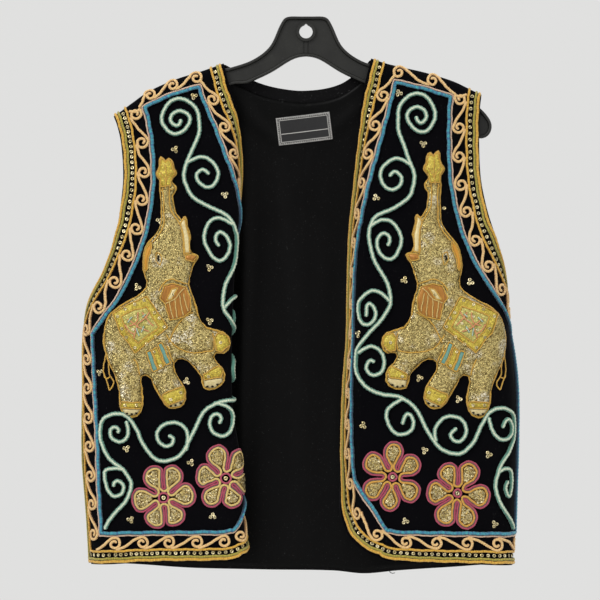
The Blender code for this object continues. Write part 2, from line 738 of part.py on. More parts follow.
def cord(name, side, path, radius, closed, collection, material):
    points = [hang_front(side, q, z, radius + CORD_GAP) for q, z in dense(path, closed)]
    tolerance = CORD_TOLERANCE * MM
    if closed:
        half = len(points) // 2
        far_half = points[half:] + points[:1]
        points = thinned(points[:half + 1], tolerance)[:-1] + thinned(far_half, tolerance)[:-1]
    else:
        points = thinned(points, tolerance)
    curve = bpy.data.curves.new(name, "CURVE")
    curve.dimensions = "3D"
    curve.bevel_depth = radius * MM
    curve.bevel_resolution = 0
    curve.use_fill_caps = not closed
    spline = curve.splines.new("POLY")
    spline.points.add(len(points) - 1)
    for target, point in zip(spline.points, points):
        target.co = (*point, 1.0)
    spline.use_cyclic_u = closed
    return new_object(name, curve, collection, material)


def vine_path():
    """The big curl, winding out, runs on into the stem."""
    inner, outer = VINE_CURL
    start = math.atan2(VINE_STEM[0][1] - VINE_CURL_AT[1], VINE_STEM[0][0] - VINE_CURL_AT[0])
    curl = []
    for k in range(VINE_CURL_STEPS):
        share = k / VINE_CURL_STEPS
        angle = start - (1 - share) * VINE_CURL_TURNS * math.tau
        reach = inner + (outer - inner) * share
        curl.append((VINE_CURL_AT[0] + reach * math.cos(angle), VINE_CURL_AT[1] + reach * math.sin(angle)))
    return curl + rounded(VINE_STEM)


def make_cords(collection):
    gold = new_material("gold_cord", (0.5, 0.3, 0.03), 0.55)
    blue = new_material("blue_cord", (0.03, 0.2, 0.32), 0.65)
    mint = new_material("mint_cord", (0.45, 0.6, 0.45), 0.7)
    for side in ("left", "right"):
        cord("edging_" + side, side, front_outline(EDGING_INSET, EDGING_INSET), EDGING_RADIUS, True,
             collection, gold)
        cord("frame_" + side, side, front_outline(FRAME_INSET, FRAME_SHOULDER_INSET), FRAME_RADIUS, True,
             collection, blue)
        cord("vine_" + side, side, vine_path(), VINE_RADIUS, False, collection, mint)


def cylinder(name, radius, depth, collection):
    bm = bmesh.new()
    bmesh.ops.create_cone(bm, cap_ends=True, segments=ROUND_STEPS, radius1=radius * MM, radius2=radius * MM,
                          depth=depth * MM)
    mesh = bpy.data.meshes.new(name)
    bm.to_mesh(mesh)
    bm.free()
    item = new_object(name, mesh, collection)
    item.rotation_euler = (math.pi / 2, 0, 0)
    item.hide_render = True
    item.display_type = "WIRE"
    return item


def make_hanger(collection, cutters):
    plastic = new_material("black_plastic", (0.03, 0.03, 0.027), 0.4)
    outline = [(p.x, p.z) for p in HANGER_OUTLINE] + [(0.0, ARCH_TOP)]
    outline += [(-p.x, p.z) for p in reversed(HANGER_OUTLINE)]
    bm = bmesh.new()
    half = HANGER_THICKNESS / 2
    front = bm.faces.new([bm.verts.new((x * MM, -half * MM, z * MM)) for x, z in outline])
    rear = bm.faces.new([bm.verts.new((x * MM, half * MM, z * MM)) for x, z in reversed(outline)])
    bmesh.ops.bridge_loops(bm, edges=list(front.edges) + list(rear.edges))
    bmesh.ops.recalc_face_normals(bm, faces=bm.faces[:])
    for face in (front, rear):
        bmesh.ops.inset_region(bm, faces=[face], thickness=HANGER_RIM * MM, use_even_offset=True)
        bmesh.ops.inset_region(bm, faces=[face], thickness=HANGER_RIM_SLOPE * MM, use_even_offset=True,
                               depth=(HANGER_WEB / 2 - half) * MM)
    mesh = bpy.data.meshes.new("hanger")
    bm.to_mesh(mesh)
    bm.free()
    item = new_object("hanger", mesh, collection, plastic)
    boss = item.modifiers.new("Boss", "BOOLEAN")
    boss.operation = "UNION"
    boss.object = cylinder("boss_shape", BOSS_RADIUS, HANGER_THICKNESS + 2 * BOSS_PROUD, cutters)
    hole = item.modifiers.new("Hole", "BOOLEAN")
    hole.operation = "DIFFERENCE"
    hole.object = cylinder("hole_shape", HOLE_RADIUS, HANGER_THICKNESS * 2, cutters)
    return item


def main():
    clear_scene()
    waistcoat = new_collection("embroidered_waistcoat")
    cutters = new_collection("cutters")
    make_hanger(waistcoat, cutters)
    make_back(waistcoat)
    make_label(waistcoat)
    make_fronts(waistcoat)
    make_elephants(waistcoat)
    make_flowers(waistcoat)
    make_cords(waistcoat)


main()
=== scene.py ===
import bisect
import math
import random
from collections import namedtuple

import bmesh
import bpy
import numpy as np
from mathutils import Matrix, Vector


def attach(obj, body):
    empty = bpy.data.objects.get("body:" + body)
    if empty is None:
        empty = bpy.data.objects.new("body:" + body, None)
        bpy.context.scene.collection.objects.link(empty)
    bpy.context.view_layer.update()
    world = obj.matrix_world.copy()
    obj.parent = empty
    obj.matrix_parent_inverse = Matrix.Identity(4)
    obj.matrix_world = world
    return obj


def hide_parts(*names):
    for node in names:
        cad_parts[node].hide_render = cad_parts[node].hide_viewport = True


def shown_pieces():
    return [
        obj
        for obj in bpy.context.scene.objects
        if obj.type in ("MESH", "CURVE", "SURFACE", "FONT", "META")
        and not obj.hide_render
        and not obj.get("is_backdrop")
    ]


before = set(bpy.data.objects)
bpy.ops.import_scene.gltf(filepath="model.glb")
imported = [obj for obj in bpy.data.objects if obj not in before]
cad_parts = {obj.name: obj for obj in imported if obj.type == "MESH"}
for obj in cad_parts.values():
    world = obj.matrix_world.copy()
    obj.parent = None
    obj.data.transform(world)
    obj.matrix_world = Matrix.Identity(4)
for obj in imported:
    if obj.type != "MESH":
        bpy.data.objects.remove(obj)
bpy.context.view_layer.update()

# Lengths below are millimetres in the garment's own frame: the middle of the hanger's hole is the origin,
# the fronts face -Y and z runs up. q is the distance out from the centre front on the flat pattern.
mm = 0.001
sides = ("left", "right")
sign = {"left": 1, "right": -1}
push = {"left": -10.0, "right": 10.0}


# the cut and the hang of the cloth, as in the frame
Cut = namedtuple("Cut", "z edge outer")
frontCut = [
    Cut(-30, 86.0, 214.5), Cut(-68, 76.5, 214.5), Cut(-90, 71.0, 212.0), Cut(-129, 60.5, 211.0),
    Cut(-168, 50.0, 212.5), Cut(-195, 44.0, 217.0), Cut(-225, 38.0, 225.0), Cut(-252, 33.0, 237.0),
    Cut(-280, 29.5, 254.0), Cut(-305, 28.0, 275.0), Cut(-325, 27.3, 293.0), Cut(-340, 27.0, 304.0),
    Cut(-358, 26.8, 305.0), Cut(-428, 25.5, 304.0), Cut(-486, 26.0, 302.5), Cut(-521, 28.5, 302.1),
    Cut(-551, 33.5, 301.6), Cut(-573, 44.0, 301.1), Cut(-592, 60.0, 300.7), Cut(-607, 80.0, 300.3),
    Cut(-617, 104.0, 300.0),
]
hemZ = -617.0
armholeFootZ = -340.0
armholeTopZ = -74.0

Hang = namedtuple("Hang", "z swing side roll rollStart rollRadius")
hangRows = {
    "left": [
        Hang(-30, 0, 238, 0, 88, 15), Hang(-68, 0, 238, 5, 88, 15), Hang(-110, 0, 236, 45, 85, 15),
        Hang(-168, 0, 233, 64, 79, 13), Hang(-231, 0, 228, 72, 72, 12.5), Hang(-266, 0, 227, 75, 70, 12),
        Hang(-306, 0, 233, 76, 69, 12), Hang(-358, 0, 238, 76, 68, 12), Hang(-412, 0, 243, 72, 65, 12),
        Hang(-492, 0, 243, 68, 63, 12), Hang(-521, 0, 242.4, 62, 67, 12), Hang(-551, 0, 241.8, 52, 72, 13),
        Hang(-573, 0, 241.3, 40, 76, 14), Hang(-596, 0, 240.8, 22, 78, 15), Hang(-617, 0, 240.3, 4, 80, 15),
    ],
    "right": [
        Hang(-30, 0, 245, 0, 97, 15), Hang(-68, 0, 243, 3, 97, 15), Hang(-115, 6, 238, 58, 96, 15),
        Hang(-168, 10.5, 230, 80, 92, 12), Hang(-215, 14, 228, 100, 89, 11), Hang(-268, 18.5, 234, 135, 92, 10),
        Hang(-317, 24.5, 252, 160, 94, 9.5), Hang(-358, 29, 257.5, 169, 95, 9),
        Hang(-428, 29.5, 257.5, 166, 94.5, 9), Hang(-457, 29.5, 257.5, 162, 92, 10),
        Hang(-498, 29.5, 257, 155, 88, 12.5), Hang(-532, 29.5, 255, 149, 87, 13.5),
        Hang(-571, 29.5, 252.7, 140, 86, 14), Hang(-596, 29.5, 251.2, 110, 83, 14),
        Hang(-608, 29.5, 250.5, 60, 83, 14), Hang(-617, 29.5, 250, 10, 84, 14),
    ],
}

Seam = namedtuple("Seam", "x z")
shoulderRows = {
    "left": [Seam(76, -31.0), Seam(93, -36.6), Seam(112.6, -41.3), Seam(135.5, -46.5), Seam(155, -52.0),
             Seam(174, -58.5), Seam(191.4, -67.0), Seam(204.5, -73.3)],
    "right": [Seam(96, -36.8), Seam(122.4, -46.0), Seam(152, -55.3), Seam(182, -68.7), Seam(201.8, -82.4),
              Seam(216, -92.8), Seam(224, -98.0)],
}
neckRows = [
    Seam(-96, -36.8), Seam(-86, -42.0), Seam(-74, -49.0), Seam(-60, -56.5), Seam(-42, -62.5), Seam(-20, -66.5),
    Seam(-4, -67.5), Seam(20, -65.5), Seam(40, -60.0), Seam(54, -51.5), Seam(66, -41.5), Seam(76, -31.0),
]
BackArmhole = namedtuple("BackArmhole", "z left right")
backArmholeRows = [
    BackArmhole(-73, 204.5, 224.0), BackArmhole(-98, 199.0, 219.0), BackArmhole(-130, 195.0, 210.0),
    BackArmhole(-170, 193.0, 206.0), BackArmhole(-215, 196.0, 209.0), BackArmhole(-255, 201.0, 220.0),
    BackArmhole(-295, 207.0, 238.0), BackArmhole(-340, 213.0, 257.0),
]
backHemRows = [
    Seam(-270, -617.5), Seam(-180, -621.0), Seam(-110, -626.0), Seam(-40, -627.5), Seam(30, -629.0),
    Seam(62, -632.0), Seam(95, -629.0), Seam(150, -625.0), Seam(235, -618.0),
]
Depth = namedtuple("Depth", "drop half")
depthRows = [
    Depth(0, 0.3), Depth(0.1, 3.4), Depth(3.5, 7.9), Depth(10, 10.2), Depth(30, 11.5), Depth(80, 16.0),
    Depth(150, 23.0), Depth(230, 29.0), Depth(270, 30.0),
]
drape = {
    "droopFade": 150.0,
    "neckSlope": 0.7,
    "sideGap": 0.7,
    "footEase": 1.5,
    "footReach": 45.0,
    "wave": 2.5,
    "waveLength": 118.0,
    "wavePhase": 0.6,
    "waveDrop": 300.0,
    "waveEdge": 60.0,
}


def reader(rows, column):
    # a smooth curve through one column of a table, level past its ends
    keys = [row[0] for row in rows]
    values = [getattr(row, column) for row in rows]
    if keys[0] > keys[-1]:
        keys.reverse()
        values.reverse()
    last = len(keys) - 1
    steps = [keys[i + 1] - keys[i] for i in range(last)]
    slopes = [(values[min(i + 1, last)] - values[max(i - 1, 0)]) / (keys[min(i + 1, last)] - keys[max(i - 1, 0)])
              for i in range(last + 1)]

    def at(place):
        if place <= keys[0]:
            return values[0]
        if place >= keys[last]:
            return values[last]
        i = bisect.bisect_right(keys, place) - 1
        t = (place - keys[i]) / steps[i]
        slopeIn, slopeOut = slopes[i] * steps[i], slopes[i + 1] * steps[i]
        rise = values[i + 1] - values[i]
        return values[i] + t * (slopeIn + t * ((3 * rise - 2 * slopeIn - slopeOut)
                                               + t * (slopeIn + slopeOut - 2 * rise)))
    return at


edgeAt = reader(frontCut, "edge")
outerAt = reader(frontCut, "outer")
hangAt = {side: {name: reader(hangRows[side], name) for name in Hang._fields[1:]} for side in sides}
shoulderAt = {side: reader(shoulderRows[side], "z") for side in sides}
neckAt = reader(neckRows, "z")
backHemAt = reader(backHemRows, "z")
backArmholeAt = {side: reader(backArmholeRows, side) for side in sides}


def halfDepth(drop):
    for above, below in zip(depthRows, depthRows[1:]):
        if drop <= below.drop:
            return above.half + (below.half - above.half) * max(0.0, drop - above.drop) / (below.drop - above.drop)
    return depthRows[-1].half


# Soft creases: where the middle is, how long and wide, its lean from upright in degrees,
# and how far it stands out, or in where that is negative
Crease = namedtuple("Crease", "q z length width lean height")
frontCreases = {
    "left": [
        Crease(232, -250, 60, 13, -24, 1.7), Crease(252, -330, 46, 9, -40, -1.5), Crease(214, -150, 58, 10, 4, -1.3),
        Crease(276, -430, 90, 12, 6, 1.6), Crease(62, -560, 46, 9, 30, -1.2), Crease(150, -600, 40, 20, 80, 1.3),
        Crease(230, -602, 34, 15, 85, -1.2), Crease(118, -70, 26, 12, 70, -0.9), Crease(292, -500, 70, 9, -3, -1.5),
        Crease(186, -585, 18, 14, 20, 1.2), Crease(108, -598, 20, 12, -20, -1.3),
    ],
    "right": [
        Crease(236, -240, 66, 12, -20, -1.6), Crease(258, -320, 50, 11, -36, 1.7), Crease(212, -140, 50, 9, 2, 1.3),
        Crease(268, -400, 70, 10, 8, -1.7), Crease(284, -480, 84, 12, 0, 1.6), Crease(128, -604, 30, 16, 84, 1.4),
        Crease(176, -596, 20, 13, 12, -1.4), Crease(236, -600, 26, 15, 78, 1.2), Crease(140, -72, 28, 11, 64, 0.9),
        Crease(116, -560, 44, 10, -12, 0.9), Crease(296, -560, 40, 9, 4, -1.3),
    ],
}
# The back hangs in long uneven folds; the lining's ridges stand in, towards the fronts
backCreases = [
    Crease(-74, -330, 190, 9, 1.5, 3.4), Crease(-36, -210, 120, 13, -4, 1.9), Crease(-104, -470, 120, 11, 3, 2.2),
    Crease(-20, -480, 150, 15, 2, 1.8), Crease(18, -300, 130, 12, 3, 1.5), Crease(38, -520, 110, 12, -3, 2.2),
    Crease(62, -360, 120, 10, -2, 1.7), Crease(96, -500, 120, 13, -4, 2.0), Crease(140, -420, 150, 14, -3, 1.9),
    Crease(180, -520, 90, 10, -5, 1.8), Crease(-160, -380, 150, 12, 4, 2.1), Crease(-206, -520, 80, 11, 3, 1.7),
    Crease(-52, -112, 34, 7, -52, 1.5), Crease(46, -102, 30, 7, 50, 1.4), Crease(-8, -88, 26, 5, 84, 1.2),
    Crease(-66, -90, 22, 6, -36, 1.3), Crease(4, -165, 46, 8, 14, 0.9), Crease(190, -240, 60, 9, -14, 1.5),
    Crease(-196, -260, 60, 9, 16, 1.6), Crease(120, -210, 70, 12, -9, 1.2), Crease(-126, -230, 80, 12, 8, 1.4),
]


def withTurns(creases):
    return [(c.q, c.z, math.sin(math.radians(c.lean)), math.cos(math.radians(c.lean)), c.length, c.width, c.height)
            for c in creases]


def creaseHeight(turned, q, z):
    total = 0.0
    for midQ, midZ, sine, cosine, length, width, height in turned:
        dq, dz = q - midQ, z - midZ
        along = (dq * sine + dz * cosine) / length
        if -2.2 < along < 2.2:
            across = (dq * cosine - dz * sine) / width
            if -2.6 < across < 2.6:
                total += height * math.exp(-along * along - across * across)
    return total


# The hems don't hang dead level: how far each rises or drops across the front
Sway = namedtuple("Sway", "q left right")
swayRows = [Sway(26, 1.5, 2.5), Sway(70, 3.4, 3.2), Sway(104, 3.2, 3.4), Sway(150, 1.0, 2.4), Sway(205, -0.8, 1.6),
            Sway(250, -2.6, -0.8), Sway(300, -4.0, -2.2)]
swayAt = {side: reader(swayRows, side) for side in sides}
swayFrom = -520.0


frontTurned = {side: withTurns(frontCreases[side]) for side in sides}
backTurned = withTurns(backCreases)


def hangPoint(side, q, z):
    # one point of the flat pattern, folded round the side turn and the front edge
    at = hangAt[side]
    seam = shoulderAt["left"](q + push["left"])
    drop = seam - z
    half = halfDepth(drop)
    lift = creaseHeight(frontTurned[side], q, z) * min(1.0, max(0.0, drop) / 30.0)
    along = q + push[side] - at["swing"](z)
    turn = at["side"](z) - half
    start = at["rollStart"](z)
    x, y = along, -half - lift
    if along > turn:
        angle = (along - turn) / half
        x = turn + (half + lift) * math.sin(angle)
        y = -(half + lift) * math.cos(angle)
    elif along < start:
        radius = at["rollRadius"](z)
        angle = min((start - along) / radius, math.radians(max(0.0, at["roll"](z))))
        run = start - along - radius * angle
        x = start - (radius + lift) * math.sin(angle) - run * math.cos(angle)
        y = -half + radius - (radius + lift) * math.cos(angle) + run * math.sin(angle)
    if side == "right":
        fade = max(0.0, 1.0 - drop / drape["droopFade"])
        z += (shoulderAt["right"](q + push["right"]) - seam) * fade * fade
    if z < swayFrom:
        z += swayAt[side](q) * ((swayFrom - z) / (swayFrom - hemZ)) ** 2
    return Vector((sign[side] * x, y, z))


def onFront(side, q, z):
    # the point and the way out from the cloth there
    step = 0.6
    point = hangPoint(side, q, z)
    across = hangPoint(side, q + step, z) - hangPoint(side, q - step, z)
    up = hangPoint(side, q, z + step) - hangPoint(side, q, z - step)
    return point, across.cross(up).normalized() * sign[side]


def lifted(side, q, z, lift):
    point, out = onFront(side, q, z)
    return (point + out * lift) * mm


# shared shader groups: each gives colours, masks and heights only
def newGroup(name, inputs, outputs):
    group = bpy.data.node_groups.new(name, "ShaderNodeTree")
    for label, kind, value in inputs:
        socket = group.interface.new_socket(name=label, in_out="INPUT", socket_type=kind)
        if value is not None:
            socket.default_value = value
    for label, kind in outputs:
        group.interface.new_socket(name=label, in_out="OUTPUT", socket_type=kind)
    return group, group.nodes.new("NodeGroupInput"), group.nodes.new("NodeGroupOutput")


def addNode(tree, kind, settings=None, values=None):
    item = tree.nodes.new(kind)
    for key, value in (settings or {}).items():
        setattr(item, key, value)
    for key, value in (values or {}).items():
        item.inputs[key].default_value = value
    return item


def wire(tree, *pairs):
    for source, target in pairs:
        tree.links.new(source, target)


def mathNode(tree, operation, first, second=None):
    item = addNode(tree, "ShaderNodeMath", {"operation": operation})
    for socket, value in zip(item.inputs, (first, second)):
        if isinstance(value, (int, float)):
            socket.default_value = value
        elif value is not None:
            tree.links.new(value, socket)
    return item.outputs[0]


def mixColour(tree, share, first, second, blend="MIX"):
    item = addNode(tree, "ShaderNodeMix", {"data_type": "RGBA", "blend_type": blend})
    for index, value in ((0, share), (6, first), (7, second)):
        if isinstance(value, (int, float)):
            item.inputs[index].default_value = value
        elif isinstance(value, tuple):
            item.inputs[index].default_value = (*value, 1.0)
        else:
            tree.links.new(value, item.inputs[index])
    return item.outputs[2]


def linear(red, green, blue):
    return tuple((c / 255 / 12.92 if c <= 10 else ((c / 255 + 0.055) / 1.055) ** 2.4) for c in (red, green, blue))


def makeThreadTwist():
    # U runs along the cord in centimetres and V round it from the top, so a slant in both is the ply
    tree, start, end = newGroup("threadTwist", [("Pitch", "NodeSocketFloat", 3.0), ("Plies", "NodeSocketFloat", 2.0),
                                                ("Vary", "NodeSocketFloat", 1.0)],
                                [("Height", "NodeSocketFloat"), ("Groove", "NodeSocketFloat"),
                                 ("Patch", "NodeSocketFloat"), ("Flank", "NodeSocketFloat")])
    place = addNode(tree, "ShaderNodeUVMap")
    split = addNode(tree, "ShaderNodeSeparateXYZ")
    wire(tree, (place.outputs[0], split.inputs[0]))
    along, around = split.outputs[0], split.outputs[1]
    slant = mathNode(tree, "ADD", mathNode(tree, "MULTIPLY", along, start.outputs["Pitch"]),
                     mathNode(tree, "MULTIPLY", around, start.outputs["Plies"]))
    ply = mathNode(tree, "SINE", mathNode(tree, "MULTIPLY", slant, math.tau))
    rounded = mathNode(tree, "ABSOLUTE", ply)
    fibres = addNode(tree, "ShaderNodeTexWave", {"bands_direction": "DIAGONAL"},
                     {"Scale": 5.0, "Distortion": 2.4, "Detail": 2.0, "Detail Scale": 2.0})
    stretch = addNode(tree, "ShaderNodeMapping", None, {"Scale": (2.2, 5.0, 1.0)})
    wire(tree, (place.outputs[0], stretch.inputs[0]), (stretch.outputs[0], fibres.inputs["Vector"]))
    height = mathNode(tree, "ADD", rounded, mathNode(tree, "MULTIPLY", fibres.outputs["Fac"], 0.35))
    patches = addNode(tree, "ShaderNodeTexNoise", {"noise_dimensions": "1D"}, {"Detail": 3.0, "Roughness": 0.7})
    wire(tree, (mathNode(tree, "MULTIPLY", along, start.outputs["Vary"]), patches.inputs["W"]))
    # Flank grows from the cord's top round towards its underside and is the mask for painted shade on the flanks;
    # Groove is the mask for painted shade between the plies
    flank = mathNode(tree, "ABSOLUTE", mathNode(tree, "SINE", mathNode(tree, "MULTIPLY", around, math.pi)))
    wire(tree, (height, end.inputs["Height"]), (mathNode(tree, "SUBTRACT", 1.0, rounded), end.inputs["Groove"]),
         (patches.outputs["Fac"], end.inputs["Patch"]), (flank, end.inputs["Flank"]))
    return tree


def makeSparkle():
    # small overlapping discs, each tipped its own way, with a mask for painted shade at their edges
    tree, start, end = newGroup("discSparkle", [("Size", "NodeSocketFloat", 600.0), ("Tip", "NodeSocketFloat", 0.7)],
                                [("Normal", "NodeSocketVector"), ("Height", "NodeSocketFloat"),
                                 ("Tone", "NodeSocketFloat"), ("EdgeShade", "NodeSocketFloat")])
    place = addNode(tree, "ShaderNodeTexCoord")
    cells = addNode(tree, "ShaderNodeTexVoronoi", {"feature": "F1"})
    edges = addNode(tree, "ShaderNodeTexVoronoi", {"feature": "DISTANCE_TO_EDGE"})
    surface = addNode(tree, "ShaderNodeNewGeometry")
    for item in (cells, edges):
        wire(tree, (place.outputs["Object"], item.inputs["Vector"]), (start.outputs["Size"], item.inputs["Scale"]))
    centred = addNode(tree, "ShaderNodeVectorMath", {"operation": "SUBTRACT"})
    centred.inputs[1].default_value = (0.5, 0.5, 0.5)
    scaled = addNode(tree, "ShaderNodeVectorMath", {"operation": "SCALE"})
    added = addNode(tree, "ShaderNodeVectorMath", {"operation": "ADD"})
    unit = addNode(tree, "ShaderNodeVectorMath", {"operation": "NORMALIZE"})
    wire(tree, (cells.outputs["Color"], centred.inputs[0]), (centred.outputs[0], scaled.inputs[0]),
         (start.outputs["Tip"], scaled.inputs["Scale"]), (scaled.outputs[0], added.inputs[0]),
         (surface.outputs["Normal"], added.inputs[1]), (added.outputs[0], unit.inputs[0]))
    tone = addNode(tree, "ShaderNodeSeparateColor")
    wire(tree, (cells.outputs["Color"], tone.inputs[0]))
    # the mask for painted shade near each disc's edge, where the discs overlap
    gap = addNode(tree, "ShaderNodeMapRange", None, {"From Min": 0.0, "From Max": 0.16, "To Min": 1.0, "To Max": 0.0})
    wire(tree, (edges.outputs["Distance"], gap.inputs["Value"]))
    wire(tree, (unit.outputs[0], end.inputs["Normal"]), (edges.outputs["Distance"], end.inputs["Height"]),
         (tone.outputs[0], end.inputs["Tone"]), (gap.outputs[0], end.inputs["EdgeShade"]))
    return tree


def makeClothGrain():
    # fine threads both ways, soft blotches and stray lint
    tree, start, end = newGroup("clothGrain", [("Threads", "NodeSocketFloat", 900.0), ("Lint", "NodeSocketFloat", 0.2)],
                                [("Height", "NodeSocketFloat"), ("Blotch", "NodeSocketFloat"),
                                 ("Lint", "NodeSocketFloat")])
    place = addNode(tree, "ShaderNodeTexCoord")
    stretch = addNode(tree, "ShaderNodeMapping", None, {"Scale": (1.0, 1.0, 0.25)})
    weave = addNode(tree, "ShaderNodeTexNoise", None, {"Detail": 2.0, "Roughness": 0.6})
    blotch = addNode(tree, "ShaderNodeTexNoise", None, {"Scale": 26.0, "Detail": 4.0, "Roughness": 0.6})
    specks = addNode(tree, "ShaderNodeTexNoise", None, {"Scale": 700.0, "Detail": 1.0})
    wire(tree, (place.outputs["Object"], stretch.inputs[0]), (stretch.outputs[0], weave.inputs["Vector"]),
         (start.outputs["Threads"], weave.inputs["Scale"]), (place.outputs["Object"], blotch.inputs["Vector"]),
         (place.outputs["Object"], specks.inputs["Vector"]))
    lint = addNode(tree, "ShaderNodeMapRange", None, {"From Min": 0.70, "From Max": 0.78})
    wire(tree, (specks.outputs["Fac"], lint.inputs["Value"]), (weave.outputs["Fac"], end.inputs["Height"]),
         (blotch.outputs["Fac"], end.inputs["Blotch"]),
         (mathNode(tree, "MULTIPLY", lint.outputs[0], start.outputs["Lint"]), end.inputs["Lint"]))
    return tree


threadTwist = makeThreadTwist()
discSparkle = makeSparkle()
clothGrain = makeClothGrain()


def newMaterial(name, **values):
    material = bpy.data.materials.new(name)
    material.use_nodes = True
    tree = material.node_tree
    shader = tree.nodes["Principled BSDF"]
    for key, value in values.items():
        shader.inputs[key.replace("_", " ")].default_value = value
    return material, tree, shader


def useGroup(tree, group, **values):
    item = addNode(tree, "ShaderNodeGroup")
    item.node_tree = group
    for key, value in values.items():
        item.inputs[key].default_value = value
    return item


def bumpInto(tree, shader, height, strength, distance, normal=None):
    item = addNode(tree, "ShaderNodeBump", None, {"Strength": strength, "Distance": distance})
    wire(tree, (height, item.inputs["Height"]), (item.outputs[0], shader.inputs["Normal"]))
    if normal:
        wire(tree, (normal, item.inputs["Normal"]))


def threadMaterial(name, light, dark, flank, pitch=3.0, vary=1.6, flankShare=0.6, sheen=0.25, rough=0.55,
                   metal=0.0, flankFrom=(0.3, 0.74)):
    # a plied thread that changes colour along its length, with painted shade on its flanks and painted shade between
    # its plies
    material, tree, shader = newMaterial(name, Roughness=rough, Sheen_Weight=sheen, Metallic=metal)
    twist = useGroup(tree, threadTwist, Pitch=pitch, Vary=vary)
    spread = addNode(tree, "ShaderNodeMapRange", None, {"From Min": 0.36, "From Max": 0.64})
    wire(tree, (twist.outputs["Patch"], spread.inputs["Value"]))
    body = mixColour(tree, spread.outputs[0], light, dark)
    # painted shade: the flank colour is mixed in where the cord turns away from its top
    near = addNode(tree, "ShaderNodeMapRange", {"interpolation_type": "SMOOTHSTEP"},
                   {"From Min": flankFrom[0], "From Max": flankFrom[1], "To Max": flankShare})
    wire(tree, (twist.outputs["Flank"], near.inputs["Value"]))
    edge = near.outputs[0]
    body = mixColour(tree, edge, body, flank)
    # painted shade in the grooves between the plies
    shade = mathNode(tree, "MULTIPLY", mathNode(tree, "POWER", twist.outputs["Groove"], 2.0), 0.55)
    body = mixColour(tree, shade, body, tuple(c * 0.22 for c in dark))
    wire(tree, (body, shader.inputs["Base Color"]))
    bumpInto(tree, shader, twist.outputs["Height"], 0.8, 0.0004)
    return material


def discMaterial(name, pale, deep, size, tip, metal=0.85, rough=0.3, glints=0.0):
    material, tree, shader = newMaterial(name, Roughness=rough, Metallic=metal)
    discs = useGroup(tree, discSparkle, Size=size, Tip=tip)
    body = mixColour(tree, discs.outputs["Tone"], deep, pale)
    if glints:
        # painted highlights: in some patches the brightest discs are mixed towards near white, as glints
        place = addNode(tree, "ShaderNodeTexCoord")
        drift = addNode(tree, "ShaderNodeTexNoise", None, {"Scale": 55.0, "Detail": 2.0})
        wire(tree, (place.outputs["Object"], drift.inputs["Vector"]))
        patch = addNode(tree, "ShaderNodeMapRange", {"interpolation_type": "SMOOTHSTEP"}, {"From Min": 0.5, "From Max": 0.68})
        wire(tree, (drift.outputs["Fac"], patch.inputs["Value"]))
        bright = mathNode(tree, "MULTIPLY", mathNode(tree, "POWER", discs.outputs["Tone"], 2.0), patch.outputs[0])
        body = mixColour(tree, mathNode(tree, "MULTIPLY", bright, glints), body, linear(255, 250, 236))
    # painted shade at the edges of the discs, where they overlap
    body = mixColour(tree, mathNode(tree, "MULTIPLY", discs.outputs["EdgeShade"], 0.7), body,
                     tuple(c * 0.25 for c in deep))
    wire(tree, (body, shader.inputs["Base Color"]))
    bumpInto(tree, shader, discs.outputs["Height"], 0.5, 0.0006, discs.outputs["Normal"])
    return material


def clothMaterial(name, colour, tint, threads, rough, lint=0.1, sheen=0.0, shine=0.2, bump=0.15):
    material, tree, shader = newMaterial(name, Roughness=rough, Sheen_Weight=sheen, Sheen_Roughness=0.35,
                                         Specular_IOR_Level=shine)
    grain = useGroup(tree, clothGrain, Threads=threads, Lint=lint)
    body = mixColour(tree, grain.outputs["Blotch"], colour, tint)
    body = mixColour(tree, grain.outputs["Lint"], body, linear(150, 150, 150))
    wire(tree, (body, shader.inputs["Base Color"]))
    bumpInto(tree, shader, grain.outputs["Height"], bump, 0.0005)
    return material
